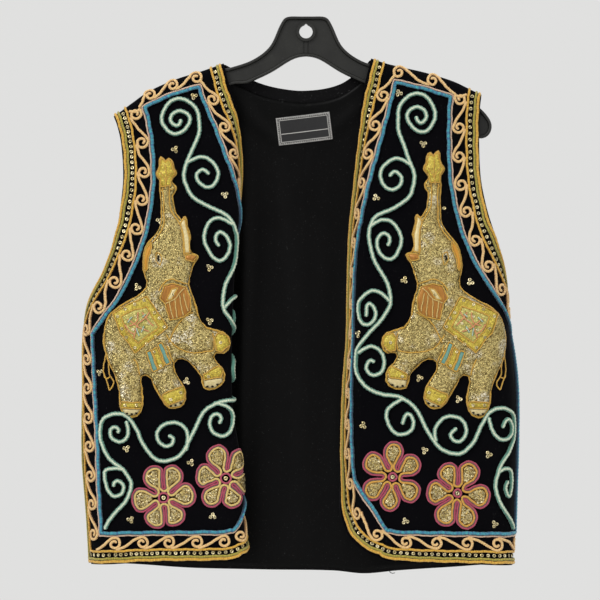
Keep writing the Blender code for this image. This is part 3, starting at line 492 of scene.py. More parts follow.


# each thread's third colour is the painted shade for its flanks (a teal on the mint cord)
finishes = {
    "velvet": clothMaterial("velvet", linear(3, 3, 5), linear(7, 6, 9), 2400.0, 0.95, 0.05, 0.04, 0.05),
    "inside": clothMaterial("frontInside", linear(14, 14, 14), linear(22, 22, 22), 1500.0, 0.6, 0.05),
    "back": clothMaterial("backCloth", linear(6, 6, 7), linear(13, 12, 13), 1800.0, 0.8, 0.2, 0.01, 0.1),
    "satin": clothMaterial("liningSatin", linear(2, 2, 2), linear(6, 6, 6), 1400.0, 0.4, 0.08, 0.0, 0.08),
    "gold": threadMaterial("goldCord", linear(240, 196, 66), linear(208, 146, 28), linear(150, 90, 20), 3.2, 1.2),
    "olive": threadMaterial("oliveCord", linear(198, 180, 54), linear(136, 128, 36), linear(84, 66, 20), 3.6, 1.8),
    "silver": threadMaterial("silverLine", linear(244, 222, 190), linear(208, 158, 140), linear(130, 100, 100), 4.2, 2.2),
    "blue": threadMaterial("blueCord", linear(58, 172, 180), linear(42, 104, 152), linear(12, 36, 68), 2.6, 0.6, 0.9,
                           flankFrom=(0.2, 0.7)),
    "peach": threadMaterial("peachCord", linear(250, 220, 152), linear(238, 180, 110), linear(160, 92, 48), 3.8, 1.4),
    "salmon": threadMaterial("salmonCord", linear(238, 172, 112), linear(222, 134, 84), linear(150, 84, 48), 3.8, 1.4),
    "mint": threadMaterial("mintCord", linear(244, 240, 208), linear(190, 220, 196), linear(16, 118, 100), 2.4, 1.5, 0.92,
                           flankFrom=(0.04, 0.46)),
    "pink": threadMaterial("pinkCord", linear(222, 52, 84), linear(140, 78, 104), linear(96, 16, 44), 3.6, 4.2),
    "yellow": threadMaterial("yellowCord", linear(240, 216, 134), linear(222, 182, 92), linear(140, 96, 30), 3.4, 1.6),
    "ochre": threadMaterial("ochreCord", linear(238, 186, 70), linear(204, 140, 40), linear(120, 78, 22), 3.4, 1.6),
    "grey": threadMaterial("greyCord", linear(132, 128, 112), linear(104, 88, 100), linear(54, 46, 46), 4.0, 1.4),
    "orange": threadMaterial("orangeCord", linear(234, 190, 64), linear(200, 144, 34), linear(128, 84, 14), 3.8, 1.6),
    "sequinCloth": discMaterial("sequinCloth", linear(230, 210, 138), linear(120, 99, 52), 860.0, 1.0, 0.8, 0.27, 0.9),
    "petalCloth": discMaterial("petalCloth", linear(214, 190, 116), linear(104, 80, 40), 620.0, 0.9),
    "saddle": discMaterial("saddleCloth", linear(226, 204, 78), linear(172, 146, 38), 520.0, 0.4, 0.2, 0.45),
    "panel": discMaterial("panelCloth", linear(218, 206, 120), linear(172, 160, 74), 380.0, 0.45, 0.25, 0.42),
    "goldSatin": clothMaterial("goldSatin", linear(150, 96, 24), linear(224, 164, 62), 1200.0, 0.4, 0.1),
    "sequin": discMaterial("goldSequin", linear(244, 230, 186), linear(196, 178, 126), 160.0, 0.25, 0.8, 0.24),
}


def copperSatin():
    material, tree, shader = newMaterial("copperSatin", Roughness=0.34, Metallic=0.35, Sheen_Weight=0.2)
    place = addNode(tree, "ShaderNodeTexCoord")
    stretch = addNode(tree, "ShaderNodeMapping", None, {"Scale": (900.0, 900.0, 90.0)})
    streak = addNode(tree, "ShaderNodeTexNoise", None, {"Scale": 1.0, "Detail": 3.0})
    wire(tree, (place.outputs["Object"], stretch.inputs[0]), (stretch.outputs[0], streak.inputs["Vector"]))
    wire(tree, (mixColour(tree, streak.outputs["Fac"], linear(100, 56, 14), linear(204, 140, 50)),
                shader.inputs["Base Color"]))
    bumpInto(tree, shader, streak.outputs["Fac"], 0.4, 0.0005)
    return material


def mintSatin():
    material, tree, shader = newMaterial("mintSatin", Roughness=0.4, Metallic=0.2, Sheen_Weight=0.2)
    place = addNode(tree, "ShaderNodeTexCoord")
    streak = addNode(tree, "ShaderNodeTexNoise", None, {"Scale": 500.0, "Detail": 3.0})
    wire(tree, (place.outputs["Object"], streak.inputs["Vector"]))
    wire(tree, (mixColour(tree, streak.outputs["Fac"], linear(58, 118, 112), linear(126, 170, 152)),
                shader.inputs["Base Color"]))
    bumpInto(tree, shader, streak.outputs["Fac"], 0.3, 0.0004)
    return material


def creamSatin():
    material, tree, shader = newMaterial("creamSatin", Roughness=0.42, Metallic=0.15, Sheen_Weight=0.2)
    place = addNode(tree, "ShaderNodeTexCoord")
    streak = addNode(tree, "ShaderNodeTexNoise", None, {"Scale": 420.0, "Detail": 3.0})
    wire(tree, (place.outputs["Object"], streak.inputs["Vector"]))
    wire(tree, (mixColour(tree, streak.outputs["Fac"], linear(178, 156, 96), linear(228, 214, 164)),
                shader.inputs["Base Color"]))
    bumpInto(tree, shader, streak.outputs["Fac"], 0.3, 0.0004)
    return material


def hangerPlastic():
    material, tree, shader = newMaterial("hangerPlastic", Roughness=0.38, Specular_IOR_Level=0.35)
    place = addNode(tree, "ShaderNodeTexCoord")
    cloudy = addNode(tree, "ShaderNodeTexNoise", None, {"Scale": 45.0, "Detail": 5.0})
    grain = addNode(tree, "ShaderNodeTexNoise", None, {"Scale": 1600.0, "Detail": 2.0})
    stretch = addNode(tree, "ShaderNodeMapping", None, {"Scale": (18.0, 1.0, 60.0), "Rotation": (0, 0.4, 0)})
    scuffs = addNode(tree, "ShaderNodeTexNoise", None, {"Scale": 14.0, "Detail": 6.0, "Roughness": 0.75})
    wire(tree, (place.outputs["Object"], cloudy.inputs["Vector"]), (place.outputs["Object"], grain.inputs["Vector"]),
         (place.outputs["Object"], stretch.inputs[0]), (stretch.outputs[0], scuffs.inputs["Vector"]))
    scuff = addNode(tree, "ShaderNodeMapRange", None, {"From Min": 0.58, "From Max": 0.72})
    wire(tree, (scuffs.outputs["Fac"], scuff.inputs["Value"]))
    body = mixColour(tree, cloudy.outputs["Fac"], linear(15, 15, 14), linear(34, 34, 30))
    body = mixColour(tree, mathNode(tree, "MULTIPLY", scuff.outputs[0], 0.35), body, linear(96, 96, 92))
    wire(tree, (body, shader.inputs["Base Color"]))
    rough = addNode(tree, "ShaderNodeMapRange", None, {"To Min": 0.3, "To Max": 0.55})
    wire(tree, (cloudy.outputs["Fac"], rough.inputs["Value"]), (rough.outputs[0], shader.inputs["Roughness"]))
    bumpInto(tree, shader, grain.outputs["Fac"], 0.12, 0.0003)
    return material


finishes["copper"] = copperSatin()
finishes["mintSatin"] = mintSatin()
finishes["cream"] = creamSatin()
finishes["plastic"] = hangerPlastic()
finishes["dark"] = clothMaterial("darkThread", linear(8, 7, 6), linear(26, 20, 14), 3000.0, 0.8)
print("finishes ready")


def keep(name, bm, material, slotName, *replaced):
    # a finished piece, smooth, on the garment's one body
    mesh = bpy.data.meshes.new(name)
    bm.to_mesh(mesh)
    bm.free()
    mesh.shade_smooth()
    item = bpy.data.objects.new(name, mesh)
    bpy.context.scene.collection.objects.link(item)
    for one in material if isinstance(material, list) else [material]:
        mesh.materials.append(one)
    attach(item, "root")
    if replaced:
        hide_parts(*replaced)
    return item


def clothSheet(name, columns, rows, place, facing, materials, slotName, wall, *replaced):
    # a flat grid is laid out on the hung form, and then gets its wall on the far side
    bm = bmesh.new()
    bm.loops.layers.uv.new("UVMap")
    across, down = len(columns) - 1, len(rows) - 1
    bmesh.ops.create_grid(bm, x_segments=across, y_segments=down, size=0.5, calc_uvs=True)
    for vertex in bm.verts:
        column = round((vertex.co.x + 0.5) * across)
        row = round((0.5 - vertex.co.y) * down)
        vertex.co = place(columns[column], rows[row])
    bm.normal_update()
    middle = sum((face.normal for face in bm.faces), Vector())
    if middle.dot(Vector(facing)) < 0:
        bmesh.ops.reverse_faces(bm, faces=bm.faces[:])
    item = keep(name, bm, materials, slotName, *replaced)
    solid = item.modifiers.new("Wall", "SOLIDIFY")
    solid.thickness = wall * mm
    solid.offset = -1
    solid.material_offset = len(materials) - 1
    solid.material_offset_rim = 0
    return item


frontSheet = {"wall": 2.2, "columns": 104, "rows": 150, "seamDrops": [0, 0.1, 1.2, 3.5, 6.5, 10]}


def spread(count, bend=0.0):
    # shares from 0 to 1, closer together near 0 as bend grows
    return [(1 - bend) * k / count + bend * (k / count) ** 2 for k in range(count + 1)]


def cutArea():
    # flat area of one front in square metres, in slices
    slices = [hemZ + k for k in range(int(shoulderRows["left"][0].z - hemZ))]
    total = 0.0
    for z in slices:
        inner, outer = edgeAt(z), outerAt(z)
        below = sum(1 for q in range(int(inner), int(outer)) if shoulderAt["left"](q + push["left"]) > z)
        total += below
    return total * mm * mm


def makeFront(side):
    first = frontCut[0]
    drops = frontSheet["seamDrops"]
    shelf = drops[-1]
    columns = spread(frontSheet["columns"], 0.45)
    lower = spread(frontSheet["rows"])[1:]
    rows = [(drop, 0.0) for drop in drops] + [(shelf, share) for share in lower]

    def place(share, row):
        top = shoulderAt["left"](first.edge + (first.outer - first.edge) * share + push["left"])
        z = top - row[0] + (hemZ - top + shelf) * row[1]
        inner, outer = edgeAt(z), outerAt(z)
        return hangPoint(side, inner + (outer - inner) * share, z) * mm

    item = clothSheet("front_velvet_" + side, columns, rows, place, (0, -1, 0),
                      [finishes["velvet"], finishes["inside"]], "velvet", frontSheet["wall"], "front_" + side)
    widest = max(outerAt(z) - edgeAt(z) for z in range(int(hemZ), -30, 5)) * mm
    cutArea()
    return item


backSheet = {"wall": 1.4, "columns": 110, "rows": 110, "liningGap": 1.9, "liningWall": 0.8, "topTrim": 4.0,
             "hemTrim": 3.0, "hemTurn": 26.0}


def backEdge(side, z):
    if z > armholeFootZ:
        return backArmholeAt[side](z)
    half = depthRows[-1].half
    turn = hangAt[side]["side"](z) - half
    seam = outerAt(z) + push[side] - hangAt[side]["swing"](z)
    ease = drape["footEase"] * max(0.0, 1.0 - (armholeFootZ - z) / drape["footReach"])
    return 2 * turn + math.pi * half - seam - drape["sideGap"] - ease


def backTop(x):
    if neckRows[0].x < x < neckRows[-1].x:
        return neckAt(x)
    return shoulderAt["left" if x > 0 else "right"](abs(x))


def backArea():
    total = 0.0
    for side in sides:
        for z in range(-632, -30, 2):
            total += 2 * sum(2 for x in range(0, int(backEdge(side, z)), 2)
                             if backHemAt(sign[side] * x) < z < backTop(sign[side] * x))
    return total * mm * mm


def backPoint(along, z, inward, ridge=0.0):
    side = "left" if along > 0 else "right"
    seam = shoulderRows[side]
    neck = max(0.0, seam[0].x - abs(along))
    drop = max(0.0, shoulderAt[side](abs(along)) - z) + neck * drape["neckSlope"]
    half = halfDepth(drop)
    turn = hangAt[side]["side"](z) - half
    wave = drape["wave"] * math.sin(along * math.tau / drape["waveLength"] + drape["wavePhase"])
    wave *= min(1.0, drop / drape["waveDrop"])
    fold = ridge * creaseHeight(backTurned, along, z) * min(1.0, drop / 25.0)
    level = half - inward - fold
    reach = abs(along)
    if reach > turn:
        angle = (reach - turn) / half
        x = turn + level * math.sin(angle)
        y = level * math.cos(angle)
    else:
        x, y = reach, level + wave * min(1.0, (turn - reach) / drape["waveEdge"])
    return Vector((x if along > 0 else -x, y, z)) * mm


def makeBack():
    drops = frontSheet["seamDrops"]
    shelf = drops[-1]
    columns = [2 * share - 1 for share in spread(backSheet["columns"])]
    lower = spread(backSheet["rows"])[1:]

    def placer(inward, ridge, topTrim, hemTrim):
        def place(share, row):
            side = "left" if share > 0 else "right"
            width = shoulderRows[side][-1].x
            top = backTop(share * width) - topTrim
            foot = backHemAt(share * width) + hemTrim
            z = top - row[0] + (foot - top + shelf) * row[1]
            return backPoint(share * backEdge(side, z), z, inward, ridge)
        return place

    rows = [(drop, 0.0) for drop in drops] + [(shelf, share) for share in lower]
    outer = clothSheet("back_cloth", columns, rows, placer(0.0, -0.55, 0.0, 0.0), (0, 1, 0), [finishes["back"]],
                       "back_cloth", backSheet["wall"], "back")
    lining = clothSheet("back_lining_satin", columns, rows[len(drops) - 1:],
                        placer(backSheet["liningGap"], 1.0, backSheet["topTrim"], backSheet["hemTrim"]), (0, 1, 0),
                        [finishes["satin"]], "satin", backSheet["liningWall"], "back_lining")
    width = sum(max(backEdge(side, z) for z in range(-617, -73, 4)) for side in sides) * mm
    length = (shoulderRows["left"][0].z + 632) * mm
    trim = width * (backSheet["topTrim"] + backSheet["hemTrim"]) * mm
    backArea()
    backArea() - trim
    print("back cut", round(width, 4), round(length, 4), round(backArea(), 4))


fronts = {side: makeFront(side) for side in sides}
makeBack()
print("cloth hung")


labelSize = {"width": 64.0, "height": 33.0, "x": -2.0, "z": -112.0, "tilt": math.radians(7), "wall": 0.7,
             "lift": 0.9, "frameInset": 1.6}


def labelPoint(across, down, out):
    x = labelSize["x"] + across * math.cos(labelSize["tilt"]) + down * math.sin(labelSize["tilt"])
    z = labelSize["z"] + across * math.sin(labelSize["tilt"]) - down * math.cos(labelSize["tilt"])
    return backPoint(x, z, backSheet["liningGap"] + backSheet["liningWall"] + labelSize["lift"] + out, 1.0)


def labelFinish():
    material, tree, shader = newMaterial("wovenLabel", Roughness=0.7, Sheen_Weight=0.1)
    place = addNode(tree, "ShaderNodeUVMap")
    split = addNode(tree, "ShaderNodeSeparateXYZ")
    wire(tree, (place.outputs[0], split.inputs[0]))
    ribs = [mathNode(tree, "SINE", mathNode(tree, "MULTIPLY", split.outputs[k], turns))
            for k, turns in ((0, 900.0), (1, 480.0))]
    weave = mathNode(tree, "MULTIPLY", ribs[0], ribs[1])
    # a pale patterned frame and one line across, measured in from the label's edge
    far = [mathNode(tree, "MULTIPLY", mathNode(tree, "ABSOLUTE", mathNode(tree, "SUBTRACT", split.outputs[k], 0.5)),
                    size) for k, size in ((0, labelSize["width"]), (1, labelSize["height"]))]
    inset = mathNode(tree, "MINIMUM", mathNode(tree, "SUBTRACT", labelSize["width"] / 2, far[0]),
                     mathNode(tree, "SUBTRACT", labelSize["height"] / 2, far[1]))

    def line(distance, at, wide):
        return mathNode(tree, "LESS_THAN", mathNode(tree, "ABSOLUTE", mathNode(tree, "SUBTRACT", distance, at)), wide / 2)

    teeth = mathNode(tree, "PINGPONG", mathNode(tree, "ADD", mathNode(tree, "MULTIPLY", split.outputs[0], labelSize["width"]),
                                               mathNode(tree, "MULTIPLY", split.outputs[1], labelSize["height"])), 1.1)
    zigzag = line(mathNode(tree, "SUBTRACT", inset, teeth), labelSize["frameInset"], 0.6)
    across = mathNode(tree, "MULTIPLY", split.outputs[1], labelSize["height"])
    divider = mathNode(tree, "MULTIPLY", line(across, labelSize["height"] * 0.4, 0.9),
                       mathNode(tree, "GREATER_THAN", inset, labelSize["frameInset"] + 3))
    lines = mathNode(tree, "MAXIMUM", mathNode(tree, "MAXIMUM", zigzag, divider),
                     mathNode(tree, "MAXIMUM", line(inset, labelSize["frameInset"] - 0.6, 0.7),
                              line(inset, labelSize["frameInset"] + 2.2, 0.7)))
    body = mixColour(tree, mathNode(tree, "MULTIPLY", weave, 0.5), linear(16, 16, 18), linear(34, 33, 35))
    body = mixColour(tree, lines, body, linear(176, 174, 170))
    wire(tree, (body, shader.inputs["Base Color"]))
    bumpInto(tree, shader, weave, 0.3, 0.0003)
    return material


def makeLabel():
    halfWide, halfHigh = labelSize["width"] / 2, labelSize["height"] / 2
    columns = [halfWide * (2 * share - 1) for share in spread(40)]
    rows = [halfHigh * (2 * share - 1) for share in spread(20)]

    def place(across, down):
        pinch = (across / halfWide) ** 6 + (down / halfHigh) ** 6
        curl = 0.5 * math.sin(across * 0.21 + 0.8) * (1 - min(1.0, pinch))
        return labelPoint(across, down, 0.3 + curl)

    item = clothSheet("label_woven", columns, rows, place, (0, -1, 0), [labelFinish()], "woven_label",
                      labelSize["wall"], "label")


makeLabel()


# cords are tubes that follow the cloth, with their thread along U and round V
def cordShape(bm, points, outs, radius, closed=False, faces=6, twist=0.1, pitch=3.4, taper=0.45):
    count = len(points)
    centre = np.array([tuple(p) for p in points])
    out = np.array([tuple(o) for o in outs])
    if closed:
        tangent = np.roll(centre, -1, 0) - np.roll(centre, 1, 0)
    else:
        tangent = np.gradient(centre, axis=0)
    tangent /= np.linalg.norm(tangent, axis=1)[:, None] + 1e-12
    across = np.cross(tangent, out)
    across /= np.linalg.norm(across, axis=1)[:, None] + 1e-12
    out = np.cross(across, tangent)
    if closed:
        centre, out, across = (np.vstack([a, a[:1]]) for a in (centre, out, across))
        count += 1
    steps = np.linalg.norm(np.diff(centre, axis=0), axis=1)
    along = np.concatenate([[0], np.cumsum(steps)])
    if closed:
        pitch = along[-1] * 1000 / max(1, round(along[-1] * 1000 / pitch))
    angle = np.linspace(0, math.tau, faces + 1)
    size = radius * mm * (1 + twist * np.cos(2 * angle[None, :] - math.tau * along[:, None] * 1000 / pitch))
    if not closed:
        size[0] *= taper
        size[-1] *= taper
    places = (centre[:, None, :] + size[:, :, None] * (np.cos(angle)[None, :, None] * out[:, None, :]
                                                       + np.sin(angle)[None, :, None] * across[:, None, :]))
    piece = bmesh.new()
    layer = piece.loops.layers.uv.new("UVMap")
    bmesh.ops.create_grid(piece, x_segments=count - 1, y_segments=faces, size=0.5, calc_uvs=True)
    for vertex in piece.verts:
        ring = round((vertex.co.x + 0.5) * (count - 1))
        row = round((vertex.co.y + 0.5) * faces)
        vertex.co = places[ring, row]
    for face in piece.faces:
        for loop in face.loops:
            u, v = loop[layer].uv
            loop[layer].uv = (along[round(u * (count - 1))] * 100, v)
    bmesh.ops.remove_doubles(piece, verts=piece.verts[:], dist=1e-6)
    if not closed:
        bmesh.ops.holes_fill(piece, edges=[edge for edge in piece.edges if edge.is_boundary], sides=0)
    # the tube's faces point out where the grid's do
    first = piece.faces[:][0]
    first.normal_update()
    if first.normal.dot(first.calc_center_median() - Vector(centre[0])) < 0:
        bmesh.ops.reverse_faces(piece, faces=piece.faces[:])
    part = bpy.data.meshes.new("cordPart")
    piece.to_mesh(part)
    piece.free()
    bm.from_mesh(part)
    bpy.data.meshes.remove(part)


def smoothPath(path, steps=5):
    # a round, even curve through given points
    points = np.array(path, dtype=float)
    gap = np.linalg.norm(np.diff(points, axis=0), axis=1)[:, None] + 1e-9
    count = len(points)
    system, rise = np.zeros((count, count)), np.zeros((count, 2))
    system[0, :2], system[-1, -2:] = (2, 1), (1, 2)
    rise[0] = 3 * (points[1] - points[0]) / gap[0]
    rise[-1] = 3 * (points[-1] - points[-2]) / gap[-1]
    for i in range(1, count - 1):
        before, after = gap[i - 1, 0], gap[i, 0]
        system[i, i - 1:i + 2] = (after, 2 * (before + after), before)
        rise[i] = 3 * (after / before * (points[i] - points[i - 1]) + before / after * (points[i + 1] - points[i]))
    slopes = np.linalg.solve(system, rise)
    t = np.linspace(0, 1, steps, endpoint=False)[:, None]
    made = []
    for i in range(count - 1):
        step = points[i + 1] - points[i]
        first, last = slopes[i] * gap[i], slopes[i + 1] * gap[i]
        made.extend(points[i] + t * (first + t * ((3 * step - 2 * first - last) + t * (first + last - 2 * step))))
    made.append(points[-1])
    return [tuple(p) for p in made]


def evenPath(path, spacing, closed=False):
    # points at even distances along a chain
    chain = np.array(path + path[:1] if closed else path)
    lengths = np.concatenate([[0], np.cumsum(np.linalg.norm(np.diff(chain, axis=0), axis=1))])
    count = max(2, round(lengths[-1] / spacing))
    at = np.linspace(0, lengths[-1], count + 1)
    if closed:
        at = at[:-1]
    return list(zip(np.interp(at, lengths, chain[:, 0]), np.interp(at, lengths, chain[:, 1])))


def wander(q, z):
    # no couched line is dead true
    return (q + 0.34 * math.sin(0.23 * z + 0.11 * q) + 0.16 * math.sin(0.71 * z - 0.4 * q),
            z + 0.34 * math.sin(0.21 * q - 0.09 * z + 2) + 0.16 * math.sin(0.66 * q + 0.37 * z))


def layCord(bm, side, path, radius, closed=False, spacing=1.15, height=None, faces=6, twist=0.1, pitch=3.4):
    points, outs = [], []
    for q, z in evenPath(path, spacing, closed):
        q, z = wander(q, z)
        point, out = onFront(side, q, z)
        rise = radius * 0.86 + (height(q, z) if height else 0.0)
        points.append((point + out * rise) * mm)
        outs.append(out)
    cordShape(bm, points, outs, radius, closed, faces, twist, pitch)


def chainNormals(chain):
    normals = []
    for i in range(len(chain)):
        a, b = chain[max(i - 1, 0)], chain[min(i + 1, len(chain) - 1)]
        length = math.hypot(b[0] - a[0], b[1] - a[1])
        normals.append(((a[1] - b[1]) / length, (b[0] - a[0]) / length))
    return normals


def crossing(a, b, c, d):
    run, other = (b[0] - a[0], b[1] - a[1]), (d[0] - c[0], d[1] - c[1])
    base = run[0] * other[1] - run[1] * other[0]
    if abs(base) < 1e-9:
        return None
    t = ((c[0] - a[0]) * other[1] - (c[1] - a[1]) * other[0]) / base
    s = ((c[0] - a[0]) * run[1] - (c[1] - a[1]) * run[0]) / base
    if 0 <= t <= 1 and 0 <= s <= 1:
        return (a[0] + run[0] * t, a[1] + run[1] * t)
    return None


def joined(first, second):
    for i in range(len(first) - 1):
        for k in range(len(second) - 1):
            meet = crossing(first[i], first[i + 1], second[k], second[k + 1])
            if meet:
                return first[:i + 1] + [meet], [meet] + second[k + 1:]
    return first, second


def stations(start, stop, step):
    count = math.ceil(abs(stop - start) / step)
    return [start + (stop - start) * k / count for k in range(count + 1)]


def makeEdges():
    # the cut edges of a front, one after another round it
    top, foot = frontCut[0], frontCut[-1]
    return {
        "edge": [(edgeAt(z), z) for z in stations(top.z + 6, hemZ, 4)],
        "hem": [(q, hemZ) for q in stations(foot.edge, foot.outer, 6)],
        "side": [(outerAt(z), z) for z in stations(hemZ, armholeFootZ, 8)],
        "armhole": [(outerAt(z), z) for z in stations(armholeFootZ, armholeTopZ + 10, 4)],
        "shoulder": [(q, shoulderAt["left"](q + push["left"])) for q in stations(top.outer + 4, top.edge - 4, 5)],
    }


def rounded(chain, times=14):
    # the run averaged with its neighbours again and again; its ends stay
    places = np.array(evenPath(chain, 4.0))
    for turn in range(times):
        places[1:-1] = 0.25 * places[:-2] + 0.5 * places[1:-1] + 0.25 * places[2:]
    return [tuple(place) for place in places]


edges = makeEdges()
wholeFoot = rounded(edges["edge"] + edges["hem"][1:])
turnAt = next(i for i, place in enumerate(wholeFoot) if place[0] > 96 and place[1] < -600)
edges["edge"], edges["hem"] = wholeFoot[:turnAt + 1], wholeFoot[turnAt:]
edgeOrder = ("edge", "hem", "side", "armhole", "shoulder")


def insetChains(insets):
    # the edges moved in, each by its own distance, and trimmed where they meet
    chains = []
    for name in edgeOrder:
        chain = edges[name]
        normals = chainNormals(chain)
        chains.append([(p[0] + n[0] * insets[name], p[1] + n[1] * insets[name]) for p, n in zip(chain, normals)])
    for i in range(len(chains)):
        after = (i + 1) % len(chains)
        chains[i], chains[after] = joined(chains[i], chains[after])
    return dict(zip(edgeOrder, chains))


# the frame's lower front corner is cut off straight, and the closed lines keep their distance from it
cutCorner = {"from": (68.5, -530.0), "to": (104.3, -581.0)}


def insetLoop(insets):
    loop = []
    for chain in insetChains(insets).values():
        loop.extend(chain[:-1])
    (q0, z0), (q1, z1) = cutCorner["from"], cutCorner["to"]
    length = math.hypot(q1 - q0, z1 - z0)
    away = insets["edge"] - borderLines["blueFrame"]["inset"]["edge"]
    kept = []
    for q, z in loop:
        inside = ((q - q0) * (z0 - z1) + (z - z0) * (q1 - q0)) / length
        if inside > away:
            kept.append((q, z))
    return kept


# the side border swings forward on the right front as it nears the hem
Lean = namedtuple("Lean", "z by")
leanAt = reader([Lean(-300, 1.5), Lean(-340, 2.5), Lean(-382, 3.0), Lean(-428, 4.3), Lean(-474, 6.5),
                 Lean(-521, 7.5), Lean(-580, 9.5), Lean(-617, 10.0)], "by")


# and on both the lines stand a little further in down the front edge
edgeLeanAt = reader([Lean(-250, 0.0), Lean(-400, 1.5), Lean(-480, 3.0), Lean(-530, 3.0), Lean(-575, 1.5), Lean(-605, 0.0)],
                    "by")


def leaned(side, path):
    swung = []
    for q, z in path:
        shift = edgeLeanAt(z) * max(0.0, min(1.0, (110 - q) / 30))
        if side == "right":
            shift -= leanAt(z) * max(0.0, min(1.0, (q - 190) / 60)) * min(1.0, max(0.0, (-250 - z) / 60))
        swung.append((q + shift, z))
    return swung


def insetRun(insets):
    # from the shoulder down the front edge, round the hem and up to the shoulder again
    chains = insetChains(insets)
    return chains["edge"][:-1] + chains["hem"][:-1] + chains["side"][:-1] + chains["armhole"]


def at(edge, hem, side, shoulder):
    return {"edge": edge, "hem": hem, "side": side, "armhole": side, "shoulder": shoulder}


borderLines = {
    "goldOuter": {"inset": at(4.9, 3.0, 3.0, 0.4), "radius": 1.75, "finish": "gold", "open": True},
    "oliveLine": {"inset": at(8.2, 6.3, 6.3, 0.4), "radius": 1.55, "finish": "olive", "open": True},
    "goldInner": {"inset": at(15.7, 14.9, 14.9, 0.4), "radius": 1.5, "finish": "gold", "open": True},
    "silverLine": {"inset": at(31.7, 32.4, 32.6, 16.4), "radius": 1.15, "finish": "silver", "open": False},
    "blueFrame": {"inset": at(34.6, 35.6, 35.8, 19.6), "radius": 2.2, "finish": "blue", "open": False},
}
borderSlots = {"goldOuter": "gold_cord", "oliveLine": "gold_cord", "goldInner": "gold_cord",
               "silverLine": "blue_cord", "blueFrame": "blue_cord"}
borderReplaces = {"goldOuter": "edging_", "blueFrame": "frame_"}


def makeBorderLines(side):
    for name, line in borderLines.items():
        bm = bmesh.new()
        path = leaned(side, insetRun(line["inset"]) if line["open"] else insetLoop(line["inset"]))
        layCord(bm, side, path, line["radius"], not line["open"], pitch=line["radius"] * 1.9)
        replaced = [borderReplaces[name] + side] if name in borderReplaces else []
        keep(name + "_" + side, bm, finishes[line["finish"]], borderSlots[name], *replaced)


for side in sides:
    makeBorderLines(side)
print("border lines couched")


# running scroll between the lines: a slanting stroke, then a curl that winds back on itself
scroll = {"radius": 1.75, "turn": math.radians(470), "shrink": 0.8, "bend": 1.4, "steps": 20,
          "centre": at(23.9, 23.8, 23.9, 7.6)}
# the runs: their edges, the way along them, the curls' spacing and half height, and if a curl comes first
Run = namedtuple("Run", "edges way pitch half first")
scrollRuns = {
    "left": [Run(("edge", "hem"), 1, 34.6, 6.9, False), Run(("side", "armhole"), -1, 34.0, 6.9, True),
             Run(("shoulder",), 1, 34.0, 6.6, False)],
    "right": [Run(("edge",), 1, 34.6, 6.6, False), Run(("hem",), -1, 33.4, 7.1, False),
              Run(("side", "armhole"), -1, 34.0, 6.9, True), Run(("shoulder",), 1, 34.0, 6.6, False)],
}


def bandPlace(side, chain):
    # lengths are taken on the hung cloth, so that the curls keep their spacing where it turns
    points = np.array(chain)
    hung = np.array([tuple(hangPoint(side, q, z)) for q, z in chain])
    lengths = np.concatenate([[0], np.cumsum(np.linalg.norm(np.diff(hung, axis=0), axis=1))])
    normals = np.array(chainNormals(chain))

    def place(s, t):
        s = min(max(s, 0.0), lengths[-1])
        q, z = np.interp(s, lengths, points[:, 0]), np.interp(s, lengths, points[:, 1])
        nq, nz = np.interp(s, lengths, normals[:, 0]), np.interp(s, lengths, normals[:, 1])
        return q + nq * t, z + nz * t
    return place, lengths[-1]


def scrollUnit(centre, before, reach, startSide, wobble):
    # in the band's own lengths: s along, t towards the inner side
    curl = reach * wobble
    path = [(before + 0.25 * reach, startSide * reach * 1.02), (before + 0.5 * (centre - before) - 0.5, startSide * 0.35 * reach),
            (before + 0.72 * (centre - before), -startSide * 0.42 * reach)]
    for k in range(scroll["steps"] + 1):
        share = k / scroll["steps"]
        turned = scroll["turn"] * share - 0.45
        away = curl * (1 - scroll["shrink"] * share ** scroll["bend"])
        path.append((centre + away * math.sin(turned), -startSide * away * math.cos(turned)))
    return path


def makeScroll(side):
    bm = bmesh.new()
    chains = insetChains(scroll["centre"])
    rng = random.Random(11 if side == "left" else 12)
    for run in scrollRuns[side]:
        chain = leaned(side, [place for name in run.edges for place in chains[name]])
        if run.edges[0] == "edge":
            chain = rounded(chain, 10)
        if run.way < 0:
            chain.reverse()
        place, length = bandPlace(side, chain)
        reach = run.half
        first = reach + 2 if run.first else 2 - reach
        count = max(1, round((length - first - reach - 4) / run.pitch))
        pitch = (length - first - reach - 4) / count
        for k in range(0 if run.first else 1, count + 1):
            centre = first + pitch * k + rng.uniform(-1.0, 1.0)
            before = max(2.0, first + pitch * (k - 1)) if k else centre - reach
            unit = scrollUnit(centre, before, reach, run.way, rng.uniform(0.96, 1.04))
            path = [place(s, t * run.way) for s, t in smoothPath(unit, 4)]
            layCord(bm, side, path, scroll["radius"], faces=6, spacing=1.1, pitch=2.8)
    keep("scroll_" + side, bm, finishes["peach"], "gold_cord")


for side in sides:
    makeScroll(side)
print("scroll couched")


